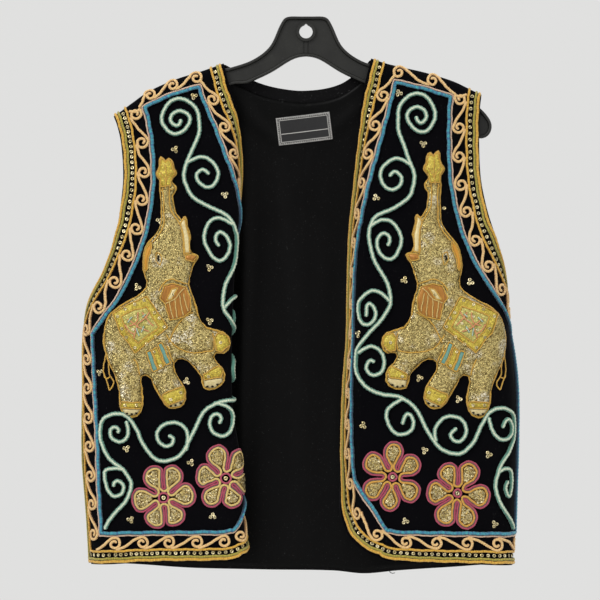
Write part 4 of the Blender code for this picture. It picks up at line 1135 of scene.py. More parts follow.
vine = {"radius": 2.55}
vineCurl = [(138.6, -99), (139.8, -104.8), (143.9, -106.6), (148.7, -102.4), (149.3, -96.5), (143.9, -90), (136.8, -88.8),
            (129.7, -93), (127.3, -100.1), (130.9, -109.5), (138, -115.5), (146.3, -117.2), (154.6, -111.9),
            (159.3, -101.2), (158.1, -89.4), (152.2, -78.8), (143.9, -73.4), (135.6, -72.8), (126.2, -77.6),
            (119.1, -87), (116.7, -98.9)]
vineStem = [
    (116.7, -110.7), (120.2, -124.9), (127.3, -144.0), (133.4, -160.0), (135.4, -173.0), (133.3, -184.5),
    (127.5, -195.0), (118.0, -202.5), (109.0, -207.0), (95.0, -213.0), (86.0, -222.0), (83.0, -236.0),
    (85.0, -254.0), (92.0, -272.0), (101.0, -287.0), (107.0, -303.0), (107.0, -317.0), (100.0, -331.0),
    (88.0, -345.0), (77.0, -357.0), (70.0, -370.0), (68.0, -384.0), (71.0, -400.0), (80.0, -413.0),
    (94.0, -420.0), (113.0, -423.0), (129.0, -430.0), (141.0, -445.0), (150.0, -462.0), (160.0, -478.0),
    (176.0, -489.0), (189.0, -489.0), (202.0, -478.0), (211.0, -461.0), (219.0, -446.0), (230.0, -438.0),
    (243.0, -438.5), (253.0, -447.0), (255.0, -462.0), (251.0, -478.0), (242.0, -492.0), (233.0, -507.0),
    (229.0, -523.0), (231.0, -540.0), (240.0, -556.0), (252.0, -570.0),
    (255.5, -577.0),
]
vineBranches = [
    [(132.6, -156.5), (116, -148.5), (96, -167), (108, -184.5), (121, -171), (112, -164), (106.7, -170)],
    [(84, -227), (100, -219), (120, -242), (105, -265), (92, -247), (100, -235), (107, -243), (104, -250)],
    [(106.7, -314), (89, -301), (71.4, -319), (80, -340.6), (90.7, -326), (83.4, -316), (79.4, -331)],
    [(70.7, -374), (86.7, -365.7), (100.7, -385), (89.4, -399), (79.4, -389), (85.4, -381.7), (89.4, -383.7)],
    [(124, -425), (102.7, -445), (120, -467.6), (134.6, -454), (128, -443.6), (121.3, -455.6)],
    [(160, -475.6), (160, -459.6), (178.6, -446), (195.3, -462), (184, -476), (177.3, -467.6), (184, -460)],
    [(221, -447.6), (226.5, -465), (240, -474), (250.5, -459.6), (244, -450), (236, -459.6)],
]
# the lower curls differ from one front to the other
lowerCurls = {
    "left": vineBranches[4:] + [[(231.5, -512), (237, -508), (246.5, -507.6), (250, -518), (245, -539.5), (241, -527.6),
                                 (244, -521)]],
    "right": [
        [(124, -424.5), (111, -428), (103, -437.8), (103, -450), (110.7, -461), (122.2, -460), (128.4, -451),
         (125.8, -440.5), (119.6, -437.4), (115.5, -442.2), (117.8, -448.4)],
        [(157.3, -478), (154.5, -467), (156, -456.4), (162.7, -449.3), (173, -447.2), (184, -451.6), (189.7, -460.3),
         (187.5, -469), (180, -473.3), (173, -470.3), (171.9, -464.4), (177.2, -461.4)],
        [(224.6, -445.8), (223, -455.6), (225.8, -464), (233.8, -468.2), (241.2, -465.4), (243.6, -458.6),
         (239.5, -452.6), (234, -454.3), (235.2, -459)],
        [(231.2, -509.4), (242, -504.4), (252.5, -508.5), (257.3, -521.8), (254.3, -533.4), (247.2, -539),
         (239.6, -536), (237.8, -528), (242.8, -521), (248, -523.2), (248.8, -528)],
    ],
}


# hand sewing: how far one front's motifs stray out and up from the other's, down the length
Stray = namedtuple("Stray", "z out up")
strayRows = {
    "left": [Stray(-80, 0, 0), Stray(-600, 0, 0)],
    "right": [Stray(-80, 0, 0), Stray(-125, 3, 1), Stray(-160, 6, 3), Stray(-215, 5.5, 2), Stray(-260, 2.5, -1),
              Stray(-310, 2.5, -7), Stray(-380, 2, -8), Stray(-440, 2.5, -6), Stray(-485, 0.5, -8.5),
              Stray(-496, -0.5, -6.5), Stray(-509, -2, 0), Stray(-524, -7, 0), Stray(-541, -5.5, 0), Stray(-558, -1.5, 0),
              Stray(-578, -4.5, 0), Stray(-600, -4.5, 0)],
}
strayAt = {side: [reader(strayRows[side], name) for name in ("out", "up")] for side in sides}


def strayed(side, path):
    out, up = strayAt[side]
    return [(q + out(z), z + up(z)) for q, z in path]


def makeVine(side):
    bm = bmesh.new()
    layCord(bm, side, strayed(side, smoothPath(vineCurl + vineStem, 6)), vine["radius"], faces=8, twist=0.12, pitch=4.0)
    for branch in vineBranches[:4] + lowerCurls[side]:
        path = strayed(side, smoothPath(branch, 8))
        layCord(bm, side, path, vine["radius"] * 0.96, faces=8, twist=0.12, pitch=4.0)
    keep("vine_curls_" + side, bm, finishes["mint"], "mint_cord", "vine_" + side)


for side in sides:
    makeVine(side)
print("vines couched")


# a cupped sequin with a bead in its hole
ringShape = {"outer": 2.0, "hole": 0.8, "cup": 0.55, "bead": 0.5, "segments": 10}


def addSequin(bm, place, out, scale=1.0):
    outer, hole = ringShape["outer"] * scale * mm, ringShape["hole"] * scale * mm
    turn = out.to_track_quat("Z", "Y").to_matrix().to_4x4()
    turn.translation = place
    profile = [(hole, 0.12), (outer * 0.62, 0.16), (outer, ringShape["cup"]), (outer * 0.97, ringShape["cup"] + 0.22),
               (outer * 0.6, 0.42), (hole, 0.34)]
    ring = [bm.verts.new((x, 0, z * scale * mm)) for x, z in profile]
    loop = [bm.edges.new((ring[i], ring[(i + 1) % len(ring)])) for i in range(len(ring))]
    bmesh.ops.spin(bm, geom=ring + loop, cent=(0, 0, 0), axis=(0, 0, 1), angle=math.tau,
                          steps=ringShape["segments"], use_merge=True)
    todo = list(ring)
    found = set(ring)
    while todo:
        vertex = todo.pop()
        for edge in vertex.link_edges:
            other = edge.other_vert(vertex)
            if other not in found:
                found.add(other)
                todo.append(other)
    found = list(found)
    faces = list({face for vertex in found for face in vertex.link_faces})
    bmesh.ops.recalc_face_normals(bm, faces=faces)
    bead = bmesh.ops.create_icosphere(bm, subdivisions=1, radius=ringShape["bead"] * scale * mm)["verts"]
    bmesh.ops.translate(bm, verts=bead, vec=(0, 0, 0.45 * scale * mm))
    bmesh.ops.transform(bm, matrix=turn, verts=found + bead)


sequinMeshes = {}


def stampSequins(bm, side, places, scale=1.0, height=None, tilt=0.14, seed=3):
    # one sequin is turned, then copied to each place with a small tip of its own
    if scale not in sequinMeshes:
        one = bmesh.new()
        addSequin(one, Vector((0, 0, 0)), Vector((0, 0, 1)), scale)
        sequinMeshes[scale] = bpy.data.meshes.new("sequinPart")
        one.to_mesh(sequinMeshes[scale])
        one.free()
    rng = random.Random(seed)
    for q, z in places:
        point, out = onFront(side, q, z)
        rise = 0.25 + (height(q, z) if height else 0.0)
        tip = Vector((rng.uniform(-tilt, tilt), rng.uniform(-tilt, tilt), rng.uniform(-tilt, tilt)))
        turn = (out + tip).normalized().to_track_quat("Z", "Y").to_matrix().to_4x4()
        turn.translation = (point + out * rise) * mm
        before = len(bm.verts)
        bm.from_mesh(sequinMeshes[scale])
        bm.verts.ensure_lookup_table()
        bmesh.ops.transform(bm, matrix=turn, verts=bm.verts[before:])


sequinRow = {"inset": at(12.0, 10.6, 10.8, 0.4), "pitch": 7.2}
pixel = 1.16
# groups of three by where they show, in pixels of the picture, with the pattern's offset
trioPlaces = {
    "right": [(194, 92), (175, 148), (160, 221), (225, 195), (138, 287), (210, 268), (210, 321), (100, 372),
              (187, 381), (127, 448), (191, 462), (131, 519), (213, 516)],
    "left": [(399, 93), (423, 144), (376, 198), (446, 209), (404, 280), (470, 282), (358, 334), (419, 378),
             (458, 399), (363, 425), (424, 450), (488, 454), (405, 521), (494, 523)],
}


def patternPlace(side, px, py):
    # the pattern's q for a place seen straight on, back round the side turn
    x, z = abs(px - 306) * pixel, (31 - py) * pixel
    half = halfDepth(shoulderAt["left"](x) - z)
    turn = hangAt[side]["side"](z) - half
    if x > turn:
        x = turn + half * math.asin(min(0.98, (x - turn) / half))
    start = hangAt[side]["rollStart"](z)
    if x < start:
        radius = hangAt[side]["rollRadius"](z)
        x = start - radius * math.asin(min(0.95, (start - x) / radius))
    return x - push[side] + hangAt[side]["swing"](z), z


def makeSequins(side):
    bm = bmesh.new()
    row = leaned(side, evenPath(insetRun(sequinRow["inset"]), sequinRow["pitch"])[1:-1])
    stampSequins(bm, side, row, 1.08, seed=21)
    trios = []
    rng = random.Random(5 if side == "left" else 6)
    for px, py in trioPlaces[side]:
        q, z = patternPlace(side, px, py)
        first = rng.uniform(0, math.tau)
        for k in range(1 if (px, py) == (446, 209) else 3):
            angle = first + k * math.tau / 3 + rng.uniform(-0.2, 0.2)
            trios.append((q + 2.5 * math.cos(angle), z + 2.5 * math.sin(angle)))
    stampSequins(bm, side, trios, 1.05, seed=22)
    keep("sequins_" + side, bm, finishes["sequin"], "sequin_cloth")


for side in sides:
    makeSequins(side)
print("sequins sewn")


# padded patches: an outline cut into small cells, laid on what is under it and raised by a height of its own
def patchPiece(name, side, outline, cell, base, height, tallest, material, slotName, *replaced):
    bm = bmesh.new()
    bm.faces.new([bm.verts.new((q, z, 0)) for q, z in outline])
    for axis in (0, 1):
        low = min(p[axis] for p in outline)
        high = max(p[axis] for p in outline)
        normal = (1, 0, 0) if axis == 0 else (0, 1, 0)
        for place in stations(low, high, cell)[1:-1]:
            spot = (place, 0, 0) if axis == 0 else (0, place, 0)
            bmesh.ops.bisect_plane(bm, geom=bm.verts[:] + bm.edges[:] + bm.faces[:], dist=1e-4, plane_co=spot,
                                   plane_no=normal)
    bmesh.ops.remove_doubles(bm, verts=bm.verts[:], dist=0.12)
    bmesh.ops.triangulate(bm, faces=bm.faces[:])
    rises = []
    for vertex in bm.verts:
        q, z = vertex.co.x, vertex.co.y
        rises.append(max(0.02, min(1.0, height(q, z) / tallest)))
        vertex.co = lifted(side, q, z, base(q, z))
    bm.normal_update()
    middle = sum((face.normal * face.calc_area() for face in bm.faces), Vector())
    if middle.y > 0:
        bmesh.ops.reverse_faces(bm, faces=bm.faces[:])
    item = keep(name, bm, material, slotName, *replaced)
    group = item.vertex_groups.new(name="padding")
    for index, rise in enumerate(rises):
        group.add([index], rise, "REPLACE")
    solid = item.modifiers.new("Padding", "SOLIDIFY")
    solid.thickness = tallest * mm
    solid.offset = 1
    solid.vertex_group = group.name
    return item


def edgeDistance(outline, signed=False, closed=True):
    # how far a place is from an outline, below nothing outside it if signed
    a = np.array(outline, dtype=float)
    b = np.roll(a, -1, 0)
    if not closed:
        a, b = a[:-1], b[:-1]
    run = b - a
    square = (run ** 2).sum(1) + 1e-9

    def away(q, z):
        to = np.array((q, z)) - a
        share = np.clip((to * run).sum(1) / square, 0, 1)
        near = math.sqrt((((to - run * share[:, None]) ** 2).sum(1)).min())
        if signed:
            spans = (a[:, 1] > z) != (b[:, 1] > z)
            crossings = a[spans, 0] + (z - a[spans, 1]) * run[spans, 0] / run[spans, 1]
            if (crossings > q).sum() % 2 == 0:
                near = -near
        return near
    return away


elephant = {"base": 0.5, "tall": 6.2, "shoulder": 10.0, "cell": 2.3, "cord": 1.45,
            "grooveWidth": 2.2}
elephantOutline = [
    (-9.5, 148), (-6.4, 150.5), (-5.4, 142), (-4, 135), (-0.3, 128.6), (-4.1, 122), (-4.7, 116), (-4.7, 106), (-5.2, 92),
    (-5.2, 78), (-3.6, 67), (1.9, 56.5), (9, 48.5), (14.9, 40), (18.4, 30), (19.4, 21), (18.6, 10), (16.8, 0), (18, -8),
    (28, -17), (46, -27), (62, -38), (70, -53), (72, -74), (66, -94), (58, -110), (53, -128), (51, -146), (45, -156),
    (32, -155), (27, -144), (28, -124), (29, -110), (22, -108), (13, -120), (4, -136), (-5, -146), (-17, -145),
    (-23, -136), (-20, -122), (-9, -104), (-8, -94), (-18, -89), (-32, -98), (-41, -110), (-45, -123), (-57, -124),
    (-67, -115), (-64, -101), (-54, -88), (-57, -82), (-66, -83), (-72, -72), (-66, -60), (-46, -54), (-38, -40),
    (-34, -18), (-30, -4), (-34.8, 10.5), (-38.8, 22), (-43.7, 29.8), (-36.8, 33), (-36, 53), (-33.6, 65), (-31.3, 76.5),
    (-27.8, 72.5), (-24, 75.5), (-20, 83), (-18.8, 92), (-17.4, 102), (-21.6, 108.5), (-21.8, 113.5), (-18, 118),
    (-18.9, 124.5), (-23, 129.2), (-20.6, 136.3), (-20, 143.4), (-15.9, 148.4), (-12.4, 145),
]
# seams that part the legs, chest and head
elephantSeams = [
    [(-54, -80), (-36, -83), (-20, -80.5), (-8, -74), (0, -62)],
    [(-8, -94), (-4, -84), (0, -74)],
    [(30.5, -109), (33, -98), (38, -90)],
    [(-33, -36), (-20, -44), (-8, -60), (-2, -72)],
    [(-54, -60), (-55, -70), (-54, -80)],
]
trunkSeams = [
    [(-15.8, 112), (-14.4, 100), (-15.6, 88), (-19, 78), (-25, 69), (-27.5, 61), (-28.3, 45), (-29, 29)],
    [(-7.3, 112), (-7.7, 92), (-7.6, 78), (-6.2, 66), (-0.6, 55), (7, 46)],
]
saddleCloth = [(18.6, -18), (40, -27), (60, -38), (53, -60), (36, -83), (17, -68), (-2, -54), (8, -36)]
saddlePanel = [(20, -30), (36, -34), (51, -41), (46, -58), (33, -72), (20, -62), (8, -54), (14, -42)]
saddleSequins = [(22, -22.5), (33.5, -27), (45, -32.5), (55, -41), (51, -55), (46.5, -65), (36.5, -77), (23, -73),
                 (12.5, -64.5), (2, -53), (6.5, -43), (11.5, -36.7)]
bib = [(-27, -7), (-14, -3), (-3, -6), (4, -20), (-2, -27), (-5, -45), (-21, -42), (-30, -35), (-32, -20)]
bibDiamond = [(-18.5, -7.5), (-11, -10), (-3.4, -22.5), (-10, -21.5)]
bibPleats = [[(-24, -14), (-27, -35)], [(-19.5, -16), (-21, -41)], [(-14, -21), (-13.5, -43)], [(-7, -23), (-9, -44)],
             [(-26, -8), (-20, -13), (-14, -21), (-7, -24), (-2, -26)]]
mintStripes = [[(5.5, -71), (10.5, -73), (0.5, -97), (-5, -94.5)], [(18.3, -80.5), (23.8, -82.5), (15, -105), (9.5, -103)]]
stripeMiddle = [(11.5, -76), (17, -80.5), (8.6, -102.5), (1.8, -97.5)]
anklets = [
    [(-71, -74), (-69, -63), (-60, -60), (-55.5, -66), (-57, -80), (-64, -82)],
    [(-65, -102), (-60, -98), (-43, -108), (-44, -114), (-64, -111)],
    [(-22, -126), (-20, -121), (3, -131), (4, -135), (-4, -144), (-22, -136)],
    [(28, -140), (50.5, -140), (51, -147), (27.5, -147)],
]
ankletSequins = [(-62.5, -71), (-49, -110.5), (-18, -129), (-6.5, -137), (33, -143.6), (46, -143.6)]
hooves = [
    [(-64, -112), (-44, -115), (-45, -122), (-57, -123), (-65.5, -116)],
    [(28, -148), (50, -148), (44.5, -155), (32.5, -154)],
    [(-22, -137), (-4, -144.5), (-6, -146), (-16.5, -144.5), (-21.5, -138)],
]
toes = [(-60, -120), (-54.5, -122), (-48.5, -121.5), (-18, -141), (-12.5, -144), (-7, -144.5), (33, -152.5), (38.5, -154),
        (44, -153.5)]
earEdge = [(8, 46), (13.8, 39.2), (17.2, 29.8), (18.2, 21.5), (17.2, 11), (14.5, 14), (13.2, 26), (8.6, 38)]
lipStrip = [(-31.2, 75), (-28, 71.5), (-26, 68), (-28.4, 60), (-29.2, 45), (-30, 32.5), (-35.6, 33.5), (-35.2, 52), (-33, 64)]
tusk = [(-43, 29.6), (-36, 31.4), (-30.2, 30.5), (-29.6, 25), (-34, 23.6), (-38.2, 23)]
trunkTip = [(-9.6, 146.6), (-7.2, 149), (-6.4, 142), (-5, 135), (-1.6, 128.6), (-5, 122.5), (-5.6, 113), (-17, 113),
            (-17.2, 118), (-18.2, 124), (-21.8, 129.2), (-19.6, 136), (-19, 143), (-15.4, 147), (-12.4, 143.4)]
trunkLeaf = [[(-12, 140), (-12, 128), (-11, 110)], [(-19, 131), (-15, 126), (-12, 118)], [(-4.5, 131), (-8, 126), (-12, 118)],
             [(-20.5, 112), (-18.5, 108.5), (-15.5, 110), (-16.5, 113)], [(-4, 112), (-6, 108.5), (-8.5, 110.5)]]
eyePath = [(0.8, 30.0), (1.3, 26.5), (0.6, 23.0)]
eyeLids = [[(3.5, 33.5), (4.2, 28), (2.6, 21), (-0.5, 18)], [(3.5, 33.5), (-1.5, 31), (-2.6, 25), (-0.5, 18)]]
saddleScrolls = [[(17, -36), (24, -44), (31, -50), (36, -60), (38, -66)], [(44, -44), (36, -50), (27, -56), (20, -58)],
                 [(31, -36), (33, -48), (42, -52)], [(26, -36), (19, -46), (14, -52)], [(47, -50), (42, -58), (36, -62)]]
saddleLeaves = [[(22, -38), (26, -42)], [(38, -42), (44, -48)], [(25, -52), (29, -60)], [(34, -54), (32, -64)]]
panelSequins = [(-11.5, -16), (14, -82), (6.5, -98), (28, -46), (38, -56), (26, -56), (33, -41), (20, -49)]
tailCords = [[(70, -80), (71.5, -94), (72, -108), (69, -114), (64.8, -126.7)],
             [(68.5, -84), (66.5, -98), (65, -110), (60, -117), (64.8, -126.7)], [(65, -111), (69, -113), (72.5, -109)]]
collar = [(-31, -4), (-22, -1), (-12, 2), (-4, -2), (4, -12)]


# where the elephant stands on each front, with its lean and the trunk's length
elephantStand = {"left": (170.0, -290.0, 0.0, 1.0), "right": (178.0, -290.0, -0.03, 0.965)}


def stand(side, points):
    atQ, atZ, lean, reach = elephantStand[side]
    return [(atQ + u + lean * v, atZ + (v * reach if v > 0 else v)) for u, v in points]


def bodyForm(side):
    # height of the padding over the velvet: round at the outline, sunk along the seams, nothing outside
    away = edgeDistance(stand(side, elephantOutline), True)
    seams = [edgeDistance(smoothPath(stand(side, s), 3), False, False) for s in elephantSeams + trunkSeams]

    def height(q, z):
        inside = away(q, z)
        if inside <= 0:
            return 0.0
        share = min(1.0, inside / elephant["shoulder"])
        rise = elephant["tall"] * (0.3 + 0.7 * math.sqrt(max(0.0, 1 - (1 - share) ** 2)))
        near = min(seam(q, z) for seam in seams)
        rise -= 2.2 * math.exp(-(near / elephant["grooveWidth"]) ** 2) * min(1.0, share * 1.6)
        return max(0.9, rise)
    return height


def raised(outline, tall, shoulder=2.5):
    away = edgeDistance(outline)

    def height(q, z):
        share = min(1.0, away(q, z) / shoulder)
        return tall * (0.25 + 0.75 * math.sqrt(max(0.0, 1 - (1 - share) ** 2)))
    return height


def makeElephant(side):
    bodyHeight = bodyForm(side)
    outline = smoothPath(stand(side, elephantOutline + elephantOutline[:1]), 2)[:-1]
    body = patchPiece("elephant_body_" + side, side, outline, elephant["cell"], lambda q, z: elephant["base"],
                      bodyHeight, elephant["tall"], finishes["sequinCloth"], "sequin_cloth", "elephant_" + side)

    def bodyTop(q, z):
        return elephant["base"] + bodyHeight(q, z)

    def onTop(name, shape, tall, finish, cell=2.2, drop=0.25):
        piece = stand(side, shape)
        patchPiece(name + "_" + side, side, piece, cell, lambda q, z: bodyTop(q, z) - drop, raised(piece, tall), tall,
                   finishes[finish], "sequin_cloth")

    def cordsOn(name, paths, radius, finish, lift=-0.3):
        bm = bmesh.new()
        for path in paths:
            layCord(bm, side, smoothPath(stand(side, path), 4), radius, False, 1.0, lambda q, z: bodyTop(q, z) + lift, 6,
                    0.1, radius * 2.0)
        keep(name + "_" + side, bm, finishes[finish], "gold_cord")

    onTop("saddle_cloth", saddleCloth, 1.2, "saddle")
    onTop("saddle_panel", saddlePanel, 1.6, "panel", 2.2, 0.1)
    onTop("bib_satin", bib, 1.3, "copper", 1.6)
    onTop("bib_diamond", bibDiamond, 2.1, "cream", 1.6, 0.1)
    for k, shape in enumerate(mintStripes):
        onTop("stripe_" + str(k + 1), shape, 1.3, "mintSatin", 1.8)
    onTop("stripe_middle", stripeMiddle, 1.2, "saddle", 1.8)
    for k, shape in enumerate(anklets):
        onTop("anklet_" + str(k + 1), shape, 1.1, "saddle", 1.8)
    for k, shape in enumerate(hooves):
        onTop("hoof_" + str(k + 1), shape, 0.9, "cream", 1.8)
    onTop("ear_edge", earEdge, 1.5, "goldSatin", 1.6)
    onTop("lip_strip", lipStrip, 1.3, "cream", 1.6)
    onTop("tusk", tusk, 1.8, "copper", 1.6)
    onTop("trunk_tip", trunkTip, 1.4, "saddle", 1.8)

    loops = bmesh.new()
    layCord(loops, side, outline, elephant["cord"], True, 1.0, None, 6, 0.1, 2.6)
    trims = [saddleCloth, saddlePanel, bib, bibDiamond, mintStripes[0], mintStripes[1], stripeMiddle, earEdge, tusk, lipStrip]
    for shape in trims + anklets + [trunkTip]:
        layCord(loops, side, stand(side, shape), 0.85, True, 1.0, lambda q, z: bodyTop(q, z) + 0.3, 5, 0.08, 1.8)
    keep("elephant_outline_" + side, loops, finishes["orange"], "gold_cord")
    cordsOn("elephant_seams", elephantSeams + trunkSeams + [collar], 0.9, "orange")
    cordsOn("bib_pleats", bibPleats, 0.6, "yellow", 1.0)
    cordsOn("trunk_leaf", trunkLeaf, 0.6, "orange", 1.0)
    cordsOn("saddle_pattern", saddleScrolls, 0.8, "salmon", 1.4)
    cordsOn("saddle_leaves", saddleLeaves, 1.0, "mint", 1.3)
    cordsOn("toes", [[(u - 1.4, v), (u + 1.4, v)] for u, v in toes], 1.2, "dark", 0.2)
    cordsOn("eye", [eyePath], 1.1, "dark", -0.1)
    cordsOn("eye_lid", eyeLids, 0.65, "orange")

    rings = bmesh.new()
    stampSequins(rings, side, stand(side, saddleSequins), 0.95, lambda q, z: bodyTop(q, z) + 1.0, seed=31)
    stampSequins(rings, side, stand(side, ankletSequins), 0.95, lambda q, z: bodyTop(q, z) + 0.8, seed=32)
    stampSequins(rings, side, stand(side, panelSequins), 0.85, lambda q, z: bodyTop(q, z) + 1.5, seed=33)
    keep("elephant_sequins_" + side, rings, finishes["sequin"], "sequin_cloth")

    tail = bmesh.new()
    for path in tailCords:
        layCord(tail, side, smoothPath(stand(side, path), 4), 0.85, spacing=1.0, faces=5, pitch=1.9)
    keep("tail_cord_" + side, tail, finishes["orange"], "gold_cord")


for side in sides:
    makeElephant(side)
print("elephants padded")


# one petal: how far along it and how far from its middle line its outline lies, for a length of 36 and a notch
# at 30 degrees each side
flower = {"tip": 36.0, "notch": 10.0, "base": 0.4, "tall": 2.6, "ring": {"left": 4.4, "right": 5.6}}
petalHalf = [(0.86, 0.0), (0.845, 0.12), (0.79, 0.23), (0.69, 0.315), (0.57, 0.345), (0.45, 0.33), (0.33, 0.28), (0.22, 0.2), (0.14, 0.15)]
Flower = namedtuple("Flower", "q z petals")
# each petal's angle and length, as sewn by hand
flowers = {
    "inner_left": Flower(110.1, -516.7, [(88, 41.0), (38, 36.0), (-44, 37.5), (-96, 39.5), (-143, 38.0), (141, 39.0)]),
    "outer_left": Flower(185.2, -535.5, [(65, 39.5), (-9, 37.2), (-72, 42.5), (-116, 41.0), (178, 35.5), (111, 36.5)]),
    "inner_right": Flower(112.2, -518.2, [(73, 39.3), (6, 34.5), (-55, 38.0), (-106, 35.0), (-166, 37.0), (124, 38.0)]),
    "outer_right": Flower(184.1, -540.8, [(69, 38.6), (-6, 36.6), (-72, 36.5), (-117, 35.6), (172, 36.7), (109, 39.0)]),
}


def makeFlower(name, side):
    outerCord, innerCord, thinCord, ringCord = bmesh.new(), bmesh.new(), bmesh.new(), bmesh.new()
    fill, specks = [], bmesh.new()
    rng = random.Random(len(name) + 41)
    one = flowers[name]
    count = len(one.petals)
    angles = [math.radians(angle) for angle, length in one.petals]

    def between(first, second):
        # the notch's angle from one petal to the next, going down through the table
        gap = (first - second) % math.tau
        return first - gap / 2, gap / 2

    def petalEdge(k, inset):
        # the outline of one petal from notch to notch, moved in by inset; notches pull it to their own angle
        angle, length = angles[k], one.petals[k][1]
        notchBefore, halfBefore = between(angles[k - 1], angle)
        notchAfter, halfAfter = between(angle, angles[(k + 1) % count])
        points = []
        for way, half in ((1, halfBefore), (-1, halfAfter)):
            line = []
            for step, (along, wide) in enumerate(petalHalf):
                # tan keeps the sides clear of the notch lines, and wide petals spread only a little
                spread = min(1.12, max(0.86, math.tan(half) / math.tan(math.radians(30))))
                a, w = (0.14 + along) * length, wide * spread * flower["tip"]
                near = a * math.tan(half) - 1.3 / math.cos(half)
                line.append((a, max(0.6, min(w, near))))
            points.append([(a, way * w) for a, w in line])
        whole = points[0][::-1] + points[1][1:]
        middle = 0.62 * length
        moved = []
        for i, (a, w) in enumerate(whole):
            before, after = whole[max(i - 1, 0)], whole[min(i + 1, len(whole) - 1)]
            run = (after[0] - before[0], after[1] - before[1])
            size = math.hypot(*run) + 1e-9
            side_ = (run[1] / size, -run[0] / size)
            if side_[0] * (middle - a) + side_[1] * (0 - w) < 0:
                side_ = (-side_[0], -side_[1])
            moved.append((a + side_[0] * inset, w + side_[1] * inset))
        return [(one.q + a * math.cos(angle) - w * math.sin(angle), one.z + a * math.sin(angle) + w * math.cos(angle))
                for a, w in moved]

    def whole(inset, notchReach):
        # all the petals in one run, turning in each notch
        path = []
        for k in range(count):
            path += petalEdge(k, inset)
            notch, half = between(angles[k], angles[(k + 1) % count])
            path.append((one.q + notchReach * math.cos(notch), one.z + notchReach * math.sin(notch)))
        return smoothPath(path + path[:1], 3)[:-1]

    layCord(outerCord, side, whole(0.0, 9.8), 1.2, True, 1.1, None, 6, 0.1, 2.4)
    layCord(thinCord, side, whole(1.7, 8.9), 0.6, True, 1.3, lambda q, z: 0.5, 5, 0.08, 2.0)
    layCord(innerCord, side, whole(3.3, 7.4), 1.4, True, 1.1, lambda q, z: 0.6, 6, 0.1, 2.6)
    for k in range(count):
        edge = petalEdge(k, 4.2)
        patch = evenPath(smoothPath(edge, 3), 2.2)
        piece = patchPiece("petal_" + str(k + 1) + "_" + name, side, patch, 2.0, lambda q, z: flower["base"],
                           raised(patch, flower["tall"], 4.0), flower["tall"], finishes["petalCloth"], "flower_cord")
        inside = edgeDistance(petalEdge(k, 5.4), True)
        angle, length = angles[k], one.petals[k][1]
        for row in range(-4, 5):
            for column in range(14):
                a = 10.0 + 2.5 * column + rng.uniform(-0.5, 0.5)
                w = 2.4 * row + (1.2 if column % 2 else 0.0) + rng.uniform(-0.4, 0.4)
                spot = (one.q + a * math.cos(angle) - w * math.sin(angle), one.z + a * math.sin(angle) + w * math.cos(angle))
                if a < length and inside(*spot) > 0:
                    fill.append(spot)
    stampSequins(specks, side, fill, 0.62, lambda q, z: 2.4, 0.35, 43)
    ring = flower["ring"][side]
    around = [(one.q + ring * math.cos(k * math.tau / 24), one.z + ring * math.sin(k * math.tau / 24))
              for k in range(24)]
    layCord(ringCord, side, around, 1.3, True, 1.0, lambda q, z: 0.9, 6, 0.1, 2.6)
    stampSequins(specks, side, [(one.q, one.z)], 1.25, lambda q, z: 1.0, 0.1, 44)
    keep("flower_edge_" + name, outerCord, finishes["pink"], "flower_cord", "flower_" + name)
    keep("flower_thin_" + name, thinCord, finishes["grey"], "flower_cord")
    keep("flower_inner_cord_" + name, innerCord, finishes["ochre" if side == "left" else "yellow"], "flower_cord")
    keep("flower_middle_" + name, ringCord, finishes["pink"], "flower_cord")
    keep("flower_sequins_" + name, specks, finishes["sequin"], "flower_cord")


for side in sides:
    for place in ("inner", "outer"):
        makeFlower(place + "_" + side, side)
print("flowers sewn")


# the hanger: outline on one half, raised rim, web, a boss, the hole and two grooves on each face
hanger = {"thick": 11.0, "web": 3.0, "rim": 3.2, "slope": 0.8, "hole": 7.8, "boss": 11.0, "archTop": -28.5,
          "grooveAt": 2.5, "grooveWide": 1.7, "grooveDeep": 1.1, "peak": 3.2, "round": 0.7}
hangerHalf = [
    (0.0, 17.7), (10.0, 17.7), (19.0, 17.6), (24.6, 15.8), (28.0, 11.6), (33.4, 0.4), (41.0, -15.7), (51.0, -25.8), (59.2, -31.2),
    (67.3, -35.2), (77.0, -38.6), (88.0, -41.8), (109.0, -47.4), (125.0, -52.8), (144.0, -58.6), (178.6, -73.2),
    (202.0, -88.6), (212.0, -99.5), (215.6, -107.0), (215.4, -114.5), (211.5, -121.0), (203.0, -124.0),
    (190.0, -117.5), (140.0, -90.0), (100.0, -68.0), (83.0, -60.8), (70.0, -60.2), (59.0, -56.0), (46.0, -50.0),
    (32.0, -42.0), (18.0, -33.2), (8.0, -29.4),
]


def cutter(radius, depth, segments, at=(0, 0, 0), turn=0.0):
    bm = bmesh.new()
    bmesh.ops.create_cone(bm, cap_ends=True, segments=segments, radius1=radius * mm, radius2=radius * mm,
                          depth=depth * mm, matrix=Matrix.Rotation(math.pi / 2, 4, "X") @ Matrix.Rotation(turn, 4, "Z"))
    bmesh.ops.translate(bm, verts=bm.verts[:], vec=Vector(at) * mm)
    mesh = bpy.data.meshes.new("cutterPart")
    bm.to_mesh(mesh)
    bm.free()
    item = bpy.data.objects.new("cutterPart", mesh)
    bpy.context.scene.collection.objects.link(item)
    return item


